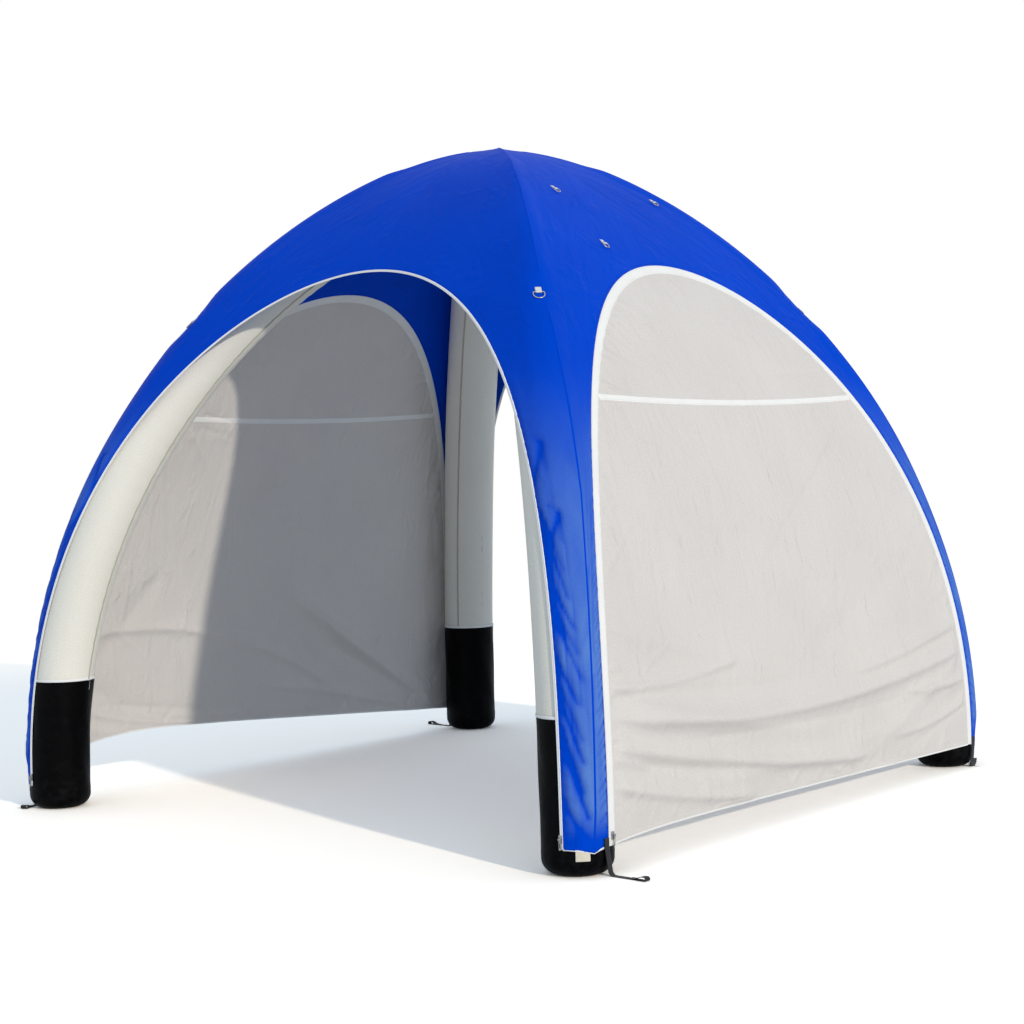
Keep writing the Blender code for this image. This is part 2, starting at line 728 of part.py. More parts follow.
def zip_fitting_place(side, across, turn):
    """The frame of a slider's back on a side's cloth, just above the hem."""
    wrap_turn = WRAP_HALF_TURN / WRAP_COLUMNS / 2
    if turn:
        middle = Vector((HALF_SPACING, math.copysign(HALF_SPACING, across), SLIDER_HEIGHT))
        away = abs(across) - HALF_SPACING
        face = ROOF_OUTER_RADIUS * math.cos(wrap_turn) + CONTACT_GAP
        slide = (away - face * math.sin(wrap_turn)) / math.cos(wrap_turn)
        frame = Matrix.Rotation(math.copysign(wrap_turn, across), 4, "Z")
        offset = Vector((face, math.copysign(slide, across), 0))
        return turned_place(SIDES_DEG[side]) @ Matrix.Translation(middle + frame @ offset) @ frame
    reach = HALF_SPACING + ROOF_RADIUS + WALL_CLOTH + TRIM_GAP + TRIM_CLOTH + CONTACT_GAP
    return turned_place(SIDES_DEG[side]) @ Matrix.Translation((reach, across, SLIDER_HEIGHT))


def build_zips():
    slider = slider_mesh()
    pull = pull_mesh()
    door_place = DOOR_WIDTH / 2 - ZIP_TAPE_WIDTH / 2
    wall_place = WALL_WIDTH / 2 - EDGE_BAND_WIDTH / 2
    fittings = (
        ("front_right", "front", door_place, True), ("front_left", "front", -door_place, True),
        ("back_right", "back", -door_place, True), ("back_left", "back", door_place, True),
        ("wall_right", "right", -wall_place, False), ("wall_left", "left", -wall_place, False),
    )
    for name, side, across, turn in fittings:
        place = zip_fitting_place(side, across, turn)
        add_object(f"zip_slider_{name}", slider.copy(), STEEL, place)
        hinge = place @ Matrix.Translation((hinge_bar_reach(), 0, 0))
        add_object(f"zip_pull_{name}", pull.copy(), STEEL, hinge)


# Tie rings on the ridges and on the right roof panel


def tab_bar_height():
    return RING_WIRE_RADIUS + HINGE_CLEARANCE + TAB_WEBBING + CONTACT_GAP


def tab_mesh(length, width):
    """Webbing folded round a bar along Y at the origin, sewn down behind it along -X."""
    bore = RING_WIRE_RADIUS + HINGE_CLEARANCE
    outer = bore + TAB_WEBBING
    loop = circle_points(outer, EYE_STEPS - 2, -math.pi / 2, math.pi)
    tail_top = -outer + 2 * TAB_WEBBING
    shoulder = (-outer, outer * TAB_SHOULDER_SHARE)
    outline = loop + [shoulder, (-2 * outer, tail_top), (-length, tail_top), (-length, -outer)]
    plate = plate_mesh("tab", outline, width, [circle_points(bore, EYE_STEPS)])
    upright = Matrix(((1, 0, 0, 0), (0, 0, -1, 0), (0, 1, 0, 0), (0, 0, 0, 1)))
    plate.transform(upright)
    return plate


def ring_mesh(width, depth):
    """A closed wire ring: a straight bar along Y at the origin and a bow along +X."""
    half = width / 2
    points = [(0.0, half - RING_CORNER), (RING_CORNER, half)]
    for step in range(RING_ARC_STEPS + 1):
        turn = math.pi * step / RING_ARC_STEPS
        points.append((depth - half + half * math.sin(turn), half * math.cos(turn)))
    points += [(RING_CORNER, -half), (0.0, RING_CORNER - half)]
    return wire_mesh("ring", [(x, y, 0.0) for x, y in points], RING_WIRE_RADIUS, 1, closed=True)


def surface_frame(point, outward, down):
    """A frame whose X runs down the slope and whose Z stands out of the cloth."""
    axis_x = down.normalized()
    axis_z = outward.normalized()
    axis_y = axis_z.cross(axis_x)
    frame = Matrix((axis_x, axis_y, axis_z)).transposed().to_4x4()
    return Matrix.Translation(point) @ frame


def facet_point(height, spread, radius):
    """Where the facets at a radius from a beam's line pass a height: the point and the slope down."""
    below = None
    for angle in arch_angles():
        centre, normal = beam_centre(angle), beam_normal(angle, spread)
        above = Vector((centre[0] * spread + radius * normal[0], centre[1] + radius * normal[1]))
        if above.y > height:
            break
        below = above
    share = (height - below.y) / (above.y - below.y)
    return below.lerp(above, share), (below - above).normalized()


def facet_frame(height, across, direction, spread, radius, inward=False, lift=0.0):
    """The frame of a fitting on a facet that faces a level direction, its Z out of the facet."""
    point, down = facet_point(height, spread, radius)
    up = Vector((0, 0, 1))
    slope = direction * down.x + up * down.y
    normal = (direction * -down.y + up * down.x) * (-1 if inward else 1)
    place = direction * point.x + up * point.y + up.cross(direction) * across
    return surface_frame(place + normal * lift, normal, slope)


def build_ridge_rings():
    """One ring on each ridge, on the line over the beam, where the two roof panels meet."""
    tab = tab_mesh(TAB_LENGTH, TAB_WIDTH)
    ring = ring_mesh(RING_WIDTH, RING_DEPTH)
    diagonal = Vector((1, -1, 0)).normalized()
    frame = facet_frame(RING_HEIGHT, 0.0, diagonal, math.sqrt(2), ROOF_OUTER_RADIUS, lift=tab_bar_height())
    for leg, degrees in LEGS_DEG.items():
        place = turned_place(degrees) @ frame
        add_object(f"ridge_tab_{leg}", tab.copy(), WHITE_TAPE, place)
        add_object(f"ridge_ring_{leg}", ring.copy(), STEEL, place)


def build_roof_rings():
    """Three smaller rings on the right roof panel, each with its tab."""
    tab = tab_mesh(ROOF_TAB_LENGTH, ROOF_TAB_WIDTH)
    ring = ring_mesh(ROOF_RING_WIDTH, ROOF_RING_DEPTH)
    for name, across_share, height_share in ROOF_RING_SHARES:
        height = ROOF_HEIGHT * height_share
        across = across_share * (facet_point(height, 1.0, ROOF_OUTER_RADIUS)[0].x - ROOF_OUTER_RADIUS)
        side = Vector((1, 0, 0))
        frame = facet_frame(height, across, side, 1.0, ROOF_OUTER_RADIUS, lift=tab_bar_height())
        add_object(f"roof_tab_{name}", tab.copy(), WHITE_TAPE, frame)
        add_object(f"roof_ring_{name}", ring.copy(), STEEL, frame)


# Anchor straps


def strap_path():
    """The strap's middle line as (out, up): down from the hem, along the ground, round its loop."""
    half = STRAP_WEBBING / 2
    bend = STRAP_BEND_RADIUS
    points = [(0.0, HEM_HEIGHT + STRAP_SEWN), (0.0, HEM_HEIGHT), (0.0, (HEM_HEIGHT + bend) / 2)]
    for step in range(STRAP_BEND_STEPS + 1):
        turn = math.pi / 2 * step / STRAP_BEND_STEPS
        points.append((bend * (1 - math.cos(turn)), half + bend * (1 - math.sin(turn))))
    points.append((STRAP_REACH, half))
    radius = STRAP_LOOP_HEIGHT / 2
    tip = STRAP_REACH + STRAP_LOOP_LENGTH - radius
    for step in range(STRAP_LOOP_STEPS + 1):
        turn = -math.pi / 2 + math.pi * step / STRAP_LOOP_STEPS
        points.append((tip + radius * math.cos(turn), half + radius * (1 + math.sin(turn))))
    sewn = half + STRAP_WEBBING + CONTACT_GAP
    points.append((STRAP_REACH + 2 * radius, half + 2 * radius))
    points.append((STRAP_REACH, sewn))
    points.append((STRAP_REACH - STRAP_SEWN / 2, sewn))
    return points


def build_straps():
    path = strap_path()
    face = HALF_SPACING + ROOF_OUTER_RADIUS + CONTACT_GAP + STRAP_WEBBING / 2
    for leg, heading in STRAP_HEADINGS_DEG.items():
        across = 1 if leg.startswith("back") else -1
        outward = 1 if leg.endswith("right") else -1
        edge = WALL_WIDTH / 2 + STRAP_INSET + STRAP_WIDTH / 2
        start = Vector((outward * face, across * edge, 0))
        lay = Vector((math.cos(math.radians(heading)), math.sin(math.radians(heading)), 0))
        drop_side = Vector((0, 1, 0)) * outward
        lay_side = Vector((0, 0, 1)).cross(lay)

        def place(column, row):
            out, up = path[row]
            turned = min(2 * out / STRAP_REACH, 1.0)
            side = drop_side.slerp(lay_side, turned) if turned > 0 else drop_side
            width = (column - 1 / 2) * STRAP_WIDTH
            lean = Vector((0, -across, 0)) * STRAP_LEAN * min(max(1 - up / HEM_HEIGHT, 0.0), 1.0)
            return start + lean + lay * out + side * width + Vector((0, 0, up))

        skin = grid_mesh("strap", 1, len(path) - 1, place, (outward, 0, 1))
        strap = add_object(f"anchor_strap_{leg}", skin, BLACK_WEBBING)
        solidify(strap, -STRAP_WEBBING / 2, STRAP_WEBBING / 2)


# Inflation valve


def valve_frame():
    """The valve's frame on the inner face of the front right beam; Z points into the tent."""
    diagonal = Vector((1, -1, 0)).normalized()
    return facet_frame(VALVE_HEIGHT, 0.0, diagonal, math.sqrt(2), -TUBE_RADIUS * FACET_COS, inward=True)


def valve_depth():
    """How far the neck reaches in to hold the bladder behind the sleeve."""
    bladder_face = BLADDER_RADIUS * math.cos(math.pi / BLADDER_SIDES)
    return TUBE_RADIUS * FACET_COS - bladder_face + BLADDER_SKIN + CONTACT_GAP * 2


def valve_hole_cutter():
    reach = valve_depth() + VALVE_COLLAR_HEIGHT
    radius = VALVE_NECK_RADIUS + CONTACT_GAP
    profile = [(0.0, reach), (radius, reach), (radius, -reach), (0.0, -reach)]
    mesh = turned_mesh("valve_hole", profile)
    return add_object("cut_valve_hole", mesh, matrix=valve_frame(), cutter=True)


def build_valve():
    frame = valve_frame()
    deep = -valve_depth()
    seat = CONTACT_GAP + VALVE_FLANGE
    top = seat + VALVE_COLLAR_HEIGHT
    floor = seat
    body_profile = [
        (VALVE_BORE_RADIUS, top), (VALVE_COLLAR_RADIUS, top), (VALVE_COLLAR_RADIUS, seat),
        (VALVE_FLANGE_RADIUS, seat), (VALVE_FLANGE_RADIUS, CONTACT_GAP), (VALVE_NECK_RADIUS, CONTACT_GAP),
        (VALVE_NECK_RADIUS, deep), (VALVE_BACK_RADIUS, deep),
        (VALVE_BACK_RADIUS, deep - VALVE_FLANGE), (VALVE_BORE_RADIUS, deep - VALVE_FLANGE),
        (VALVE_BORE_RADIUS, floor - VALVE_GUIDE_FLOOR), (VALVE_GUIDE_RADIUS, floor - VALVE_GUIDE_FLOOR),
        (VALVE_GUIDE_RADIUS, floor), (VALVE_BORE_RADIUS, floor), (VALVE_BORE_RADIUS, top),
    ]
    add_object("valve_body", turned_mesh("valve_body", body_profile), BLACK_PLASTIC, frame)
    stem = VALVE_GUIDE_RADIUS - CONTACT_GAP
    seal_top = floor - VALVE_GUIDE_FLOOR - CONTACT_GAP
    button = floor + PLUNGER_TRAVEL + CONTACT_GAP
    plunger_profile = [
        (0.0, button + PLUNGER_DISC), (PLUNGER_BUTTON_RADIUS, button + PLUNGER_DISC),
        (PLUNGER_BUTTON_RADIUS, button), (stem, button), (stem, seal_top), (PLUNGER_SEAL_RADIUS, seal_top),
        (PLUNGER_SEAL_RADIUS, seal_top - PLUNGER_DISC), (0.0, seal_top - PLUNGER_DISC),
    ]
    add_object("valve_plunger", turned_mesh("valve_plunger", plunger_profile), WHITE_PLASTIC, frame)
    build_valve_cap(frame, top)


def build_valve_cap(frame, top):
    """The cap, with its hinge strap, opens about a line on the collar's upper edge."""
    low = top + CONTACT_GAP
    plug = VALVE_BORE_RADIUS - 2 * CONTACT_GAP
    hinge_x = -VALVE_COLLAR_RADIUS - CAP_THICKNESS
    profile = [
        (0.0, low + CAP_THICKNESS), (VALVE_COLLAR_RADIUS, low + CAP_THICKNESS), (VALVE_COLLAR_RADIUS, low),
        (plug, low), (plug, low - CAP_PLUG_DEPTH), (0.0, low - CAP_PLUG_DEPTH),
    ]
    cap = turned_mesh("valve_cap", profile)
    strap = box_mesh("valve_cap_strap", (CAP_STRAP_LENGTH, CAP_STRAP_WIDTH, CAP_STRAP_THICKNESS))
    strap.transform(Matrix.Translation((hinge_x + CAP_STRAP_LENGTH / 2, 0, low + CAP_THICKNESS / 2)))
    merged = union_mesh("valve_cap", [cap, strap])
    merged.transform(Matrix.Translation((-hinge_x, 0, -low - CAP_THICKNESS / 2)))
    place = frame @ Matrix.Translation((hinge_x, 0, low + CAP_THICKNESS / 2))
    add_object("valve_cap", merged, BLACK_PLASTIC, place)


# Patch


def build_patch():
    """A hook-and-loop patch on the outer facet of the front right foot."""
    diagonal = Vector((1, -1, 0)).normalized()
    face = FOOT_OUTER_RADIUS * FACET_COS + CONTACT_GAP + PATCH_THICKNESS / 2
    centre = diagonal * (HALF_SPACING * math.sqrt(2) + face)
    centre.z = PATCH_BOTTOM + PATCH_HEIGHT / 2
    mesh = box_mesh("foot_patch", (PATCH_THICKNESS, PATCH_WIDTH, PATCH_HEIGHT))
    place = Matrix.Translation(centre) @ Matrix.Rotation(-math.pi / 4, 4, "Z")
    add_object("foot_patch", mesh, BEIGE_LOOP, place)


clear_scene()
TENT = make_collection("inflatable_tent")
CUTTERS = make_collection("cutters")

IVORY_CLOTH = make_material("ivory coated polyester", (0.80, 0.78, 0.68), 0.6)
CLEAR_FILM = make_material("clear polyurethane film", (0.75, 0.78, 0.80), 0.25)
BLACK_VINYL = make_material("black coated vinyl", (0.02, 0.02, 0.022), 0.45)
BLUE_CLOTH = make_material("royal blue polyester", (0.0, 0.06, 0.55), 0.6)
PALE_CLOTH = make_material("pale grey polyester", (0.72, 0.69, 0.65), 0.65)
WHITE_TAPE = make_material("white binding tape", (0.85, 0.85, 0.83), 0.6)
STEEL = make_material("nickel-plated steel", (0.55, 0.55, 0.54), 0.3, 1.0)
BLACK_WEBBING = make_material("black webbing", (0.025, 0.025, 0.03), 0.75)
BLACK_PLASTIC = make_material("black moulded plastic", (0.03, 0.03, 0.03), 0.4)
WHITE_PLASTIC = make_material("white moulded plastic", (0.8, 0.8, 0.78), 0.4)
BEIGE_LOOP = make_material("beige loop fabric", (0.70, 0.60, 0.42), 0.9)

VALVE_HOLE = valve_hole_cutter()
build_legs()
build_bladder()
build_roof()
build_door_zips()
build_wall("right", RIGHT_FOLD_SHARES)
build_wall("left", LEFT_FOLD_SHARES)
build_zips()
build_ridge_rings()
build_roof_rings()
build_straps()
build_valve()
build_patch()
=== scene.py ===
"""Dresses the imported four-legged inflatable tent: cloth, air beams, feet, fittings and a plain stage.

Metres, +Z up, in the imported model's frame. The doorways face -Y and +Y and the walls close the
-X and +X sides. Shapes are worked out for the side that faces +X, or for the front right leg
(+X, -Y), and then turned about Z.
"""

import logging
import math
from collections.abc import Callable
from dataclasses import dataclass
from enum import Enum

import bmesh
import bpy
import numpy as np
from bpy.types import Material, Node, NodeSocket, NodeTree, Object
from mathutils import Matrix, Vector


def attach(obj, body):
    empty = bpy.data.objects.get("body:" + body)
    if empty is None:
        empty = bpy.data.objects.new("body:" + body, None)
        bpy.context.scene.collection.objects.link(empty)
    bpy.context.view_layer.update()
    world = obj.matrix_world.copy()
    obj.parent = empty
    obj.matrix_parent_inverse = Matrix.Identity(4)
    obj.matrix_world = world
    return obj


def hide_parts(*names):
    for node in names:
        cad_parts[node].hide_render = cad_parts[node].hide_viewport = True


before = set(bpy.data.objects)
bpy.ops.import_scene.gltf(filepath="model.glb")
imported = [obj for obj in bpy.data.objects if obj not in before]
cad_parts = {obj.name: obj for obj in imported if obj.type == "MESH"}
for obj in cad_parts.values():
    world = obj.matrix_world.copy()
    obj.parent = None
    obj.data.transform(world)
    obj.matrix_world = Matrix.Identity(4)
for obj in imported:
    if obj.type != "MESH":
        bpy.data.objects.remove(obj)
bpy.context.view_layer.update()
LOG = logging.getLogger("tent")
Array = np.ndarray
UV_NAME = "cloth"
CREST_NAME = "crest"
WELD = 0.00002


class Turn(Enum):
    """A place round the tent, with the turn about Z, in degrees, that brings the first one there."""

    @property
    def label(self) -> str:
        """The place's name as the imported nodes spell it."""
        return self.name.lower()


class Side(Turn):
    """The four sides of the tent; the first faces +X."""

    RIGHT = 0
    BACK = 90
    LEFT = 180
    FRONT = 270

    @property
    def has_wall(self) -> bool:
        """Whether a zip-in wall closes this side."""
        return self in (Side.RIGHT, Side.LEFT)


class Leg(Turn):
    """The four legs; the first stands at +X, -Y."""

    FRONT_RIGHT = 0
    BACK_RIGHT = 90
    BACK_LEFT = 180
    FRONT_LEFT = 270


# Mesh and colour helpers


def linear(code: str) -> tuple[float, float, float, float]:
    """Turn an sRGB hex colour into the linear colour that a shader takes.

    Args:
        code: six hex digits.

    Returns:
        Red, green, blue and an alpha of 1.
    """
    parts = [int(code[i:i + 2], 16) / 255 for i in (0, 2, 4)]
    low = [p / 12.92 if p <= 0.04045 else ((p + 0.055) / 1.055) ** 2.4 for p in parts]
    return (*low, 1.0)


def unit(vectors: Array) -> Array:
    """Scale vectors, the last axis of an array, to length 1."""
    return vectors / np.maximum(np.linalg.norm(vectors, axis=-1, keepdims=True), 1e-12)


def joined(*parts: Array | float) -> Array:
    """Spread the parts over one another's shape and stack them as the last axis."""
    return np.stack(np.broadcast_arrays(*parts), -1)


def smooth(share: Array) -> Array:
    """Ease from 0 to 1: three times the square of the share less twice its cube."""
    share = np.clip(share, 0.0, 1.0)
    return share * share * (3 - 2 * share)


def turned(points: Array, degrees: float) -> Array:
    """Turn points about Z.

    Args:
        points: points, or one point, with x, y and z as the last axis.
        degrees: the turn, anticlockwise seen from above.

    Returns:
        The turned points.
    """
    turn = math.radians(degrees)
    cosine, sine = math.cos(turn), math.sin(turn)
    return points @ np.array([[cosine, sine, 0], [-sine, cosine, 0], [0, 0, 1]])


def arc_length(path: Array) -> Array:
    """Distance along a path of points, from 0 at its first point."""
    steps = np.linalg.norm(np.diff(path, axis=0), axis=-1)
    return np.concatenate([[0.0], np.cumsum(steps)])


class Skin:
    """Grids of points that become one mesh with a UV map in metres."""

    def __init__(self) -> None:
        """Start with no grid."""
        self.points: list[Array] = []
        self.uvs: list[Array] = []
        self.crests: list[Array] = []
        self.faces: list[Array] = []
        self.caps: list[tuple[Array, Array]] = []
        self.count = 0

    def grid(
        self, points: Array, uv: Array, outward_from: Array | None = None, caps: bool = False,
        crest: Array | None = None,
    ) -> None:
        """Add a grid; its quads join each corner with the next row and column.

        Args:
            points: rows by columns by 3.
            uv: rows by columns by 2, in metres.
            outward_from: a point that the faces are turned away from, for a sheet.
            caps: whether the first and last rows are closed with one face each.
            crest: how far each point is up a fold, from 0 to 1, for finishes that paint a sheen there.
        """
        rows, columns = points.shape[:2]
        self.crests.append(np.zeros(rows * columns) if crest is None else crest.reshape(-1))
        number = self.count + np.arange(rows * columns).reshape(rows, columns)
        quads = np.stack([number[:-1, :-1], number[:-1, 1:], number[1:, 1:], number[1:, :-1]], -1)
        quads = quads.reshape(-1, 4)
        if outward_from is not None:
            along = points[:-1, 1:] - points[:-1, :-1]
            up = points[1:, :-1] - points[:-1, :-1]
            facing = np.sum(np.cross(along, up) * (points[:-1, :-1] - outward_from))
            if facing < 0:
                quads = quads[:, ::-1]
        self.points.append(points.reshape(-1, 3))
        self.uvs.append(uv.reshape(-1, 2))
        self.faces.append(quads)
        if caps:
            for ring in (number[0, ::-1], number[-1]):
                self.caps.append((ring[:-1], ring[:-1] - self.count))
        self.count += rows * columns

    def build(self, name: str, material: Material, closed: bool = False) -> Object:
        """Make the object, with its doubles merged and smooth faces.

        Args:
            name: the piece's name.
            material: its finish.
            closed: whether its faces are turned outwards as a closed body's.

        Returns:
            The new object, at the origin.
        """
        points = np.concatenate(self.points)
        uvs = np.concatenate(self.uvs)
        quads = np.concatenate(self.faces)
        caps = [ring for ring, _ in self.caps]
        corners = np.concatenate([quads.reshape(-1), *caps]) if caps else quads.reshape(-1)
        totals = np.array([4] * len(quads) + [len(ring) for ring in caps], dtype=np.int32)
        mesh = bpy.data.meshes.new(name)
        mesh.vertices.add(len(points))
        mesh.vertices.foreach_set("co", points.astype(np.float32).ravel())
        mesh.loops.add(len(corners))
        mesh.loops.foreach_set("vertex_index", corners.astype(np.int32))
        mesh.polygons.add(len(totals))
        mesh.polygons.foreach_set("loop_start", (np.cumsum(totals) - totals).astype(np.int32))
        mesh.update(calc_edges=True)
        layer = mesh.uv_layers.new(name=UV_NAME)
        layer.data.foreach_set("uv", uvs[corners].astype(np.float32).ravel())
        crests = np.concatenate(self.crests)
        if crests.any():
            wear_and_sheen = mesh.attributes.new(CREST_NAME, "FLOAT", "POINT")
            wear_and_sheen.data.foreach_set("value", crests.astype(np.float32))
        mesh.validate()
        editor = bmesh.new()
        editor.from_mesh(mesh)
        bmesh.ops.remove_doubles(editor, verts=editor.verts, dist=WELD)
        if closed:
            bmesh.ops.recalc_face_normals(editor, faces=editor.faces)
        editor.to_mesh(mesh)
        editor.free()
        mesh.shade_smooth()
        mesh.materials.append(material)
        item = bpy.data.objects.new(name, mesh)
        bpy.context.scene.collection.objects.link(item)
        return item


def closed_body(name: str, material: Material, points: Array, uv: Array) -> Object:
    """Make a body of one grid whose ends are capped.

    Args:
        name: the piece's name.
        material: its finish.
        points: the grid, with its first column repeated last.
        uv: its UV, in metres.

    Returns:
        The body.
    """
    skin = Skin()
    skin.grid(points, uv, caps=True)
    return skin.build(name, material, closed=True)


def thin_piece(
    name: str, material: Material, points: Array, uv: Array, thickness: float,
    inside: Array | None = None,
) -> Object:
    """Make a sheet of one grid, with half its thickness on each side.

    Args:
        name: the piece's name.
        material: its finish.
        points: the grid.
        uv: its UV, in metres.
        thickness: the distance between its faces.
        inside: a point that its outer face is turned away from.

    Returns:
        The sheet.
    """
    skin = Skin()
    skin.grid(points, uv, inside)
    item = skin.build(name, material)
    thicken(item, thickness)
    return item


def swept(path: Array, normals: Array, profile: Array) -> tuple[Array, Array]:
    """Carry a closed profile along a path.

    Each ring is the path's point plus the profile's first number times the side direction, which
    is the tangent crossed with the normal, plus its second number times the normal.

    Args:
        path: points along the middle line.
        normals: the direction that the profile's second number follows, for each point.
        profile: points of (side, out), not repeated at the end.

    Returns:
        The grid of points with its first column repeated last, and its UV in metres.
    """
    tangent = unit(np.gradient(path, axis=0))
    side = unit(np.cross(tangent, normals))
    out = unit(np.cross(side, tangent))
    ring = np.concatenate([profile, profile[:1]])
    points = path[:, None] + ring[None, :, :1] * side[:, None] + ring[None, :, 1:] * out[:, None]
    around = arc_length(ring)
    uv = np.stack(np.meshgrid(around, arc_length(path)), -1)
    return points, uv


def oval(width: float, thickness: float, steps: int, power: float = 1.0) -> Array:
    """A strip's rounded outline: a circle's cosine and sine, each raised to a power.

    Args:
        width: its size across.
        thickness: its size outwards.
        steps: the number of points.
        power: 1 for an ellipse, less than 1 for a fuller shape.

    Returns:
        Points of (across, out), not repeated at the end.
    """
    turn = np.linspace(0, 2 * np.pi, steps, endpoint=False)
    across, out = np.cos(turn), np.sin(turn)
    return np.stack([
        width / 2 * np.sign(across) * np.abs(across) ** power,
        thickness / 2 * np.sign(out) * np.abs(out) ** power,
    ], -1)


def thicken(item: Object, thickness: float, offset: float = 0.0) -> None:
    """Give a sheet its thickness.

    Args:
        item: the sheet.
        thickness: the distance between its faces.
        offset: 0 to put half on each side, -1 to put all of it inside.
    """
    wall = item.modifiers.new("thickness", "SOLIDIFY")
    wall.thickness = thickness
    wall.offset = offset
    wall.use_even_offset = True


# Finishes


def feed(tree: NodeTree, node: Node, feeds: dict) -> None:
    """Give a node's inputs their values and links.

    Args:
        tree: the node tree.
        node: the node.
        feeds: for each input, by name or number, a value, the output that is linked to it, or a
            node for its first output in use.
    """
    for name, value in feeds.items():
        if isinstance(value, Node):
            value = next(output for output in value.outputs if output.enabled)
        if isinstance(value, NodeSocket):
            tree.links.new(value, node.inputs[name])
        else:
            node.inputs[name].default_value = value


def add_node(tree: NodeTree, kind: str, feeds: dict | None = None, **settings: object) -> Node:
    """Add a node with its settings, values and links.

    Args:
        tree: the node tree.
        kind: the node's type, without the ShaderNode that all of them start with.
        feeds: its inputs, as for feed.
        settings: properties of the node itself.

    Returns:
        The new node.
    """
    node = tree.nodes.new(f"ShaderNode{kind}")
    for name, value in settings.items():
        setattr(node, name, value)
    feed(tree, node, feeds or {})
    return node


def noise(tree: NodeTree, place: NodeSocket, scale: float, detail: float) -> Node:
    """Add a cloudy pattern with a scale per metre."""
    return add_node(tree, "TexNoise", {"Vector": place, "Scale": scale, "Detail": detail})


def product(tree: NodeTree, first: object, second: object, **settings: object) -> Node:
    """Add the product of two values."""
    return add_node(tree, "Math", {0: first, 1: second}, operation="MULTIPLY", **settings)


def blend(tree: NodeTree, share: object, first: object, second: object) -> Node:
    """Add a mix of two colours, the first at a share of 0 and the second at 1."""
    return add_node(tree, "Mix", {0: share, 6: first, 7: second}, data_type="RGBA")


def bump(
    tree: NodeTree, height: object, strength: float, distance: float, under: Node | None = None,
    **settings: object,
) -> Node:
    """Add a bump of a height, laid over another bump if there is one."""
    feeds = {"Height": height, "Strength": strength, "Distance": distance}
    return add_node(tree, "Bump", feeds if under is None else feeds | {"Normal": under}, **settings)


def new_material(name: str) -> tuple[Material, NodeTree, Node]:
    """Start a material with its shader linked to the output.

    Args:
        name: the real material's name.

    Returns:
        The material, its node tree and its shader.
    """
    material = bpy.data.materials.new(name)
    material.use_nodes = True
    tree = material.node_tree
    shader = tree.nodes["Principled BSDF"]
    return material, tree, shader


# A wave texture's bands are this far apart, in metres, at a scale of 1
WAVE_PERIOD = 0.314


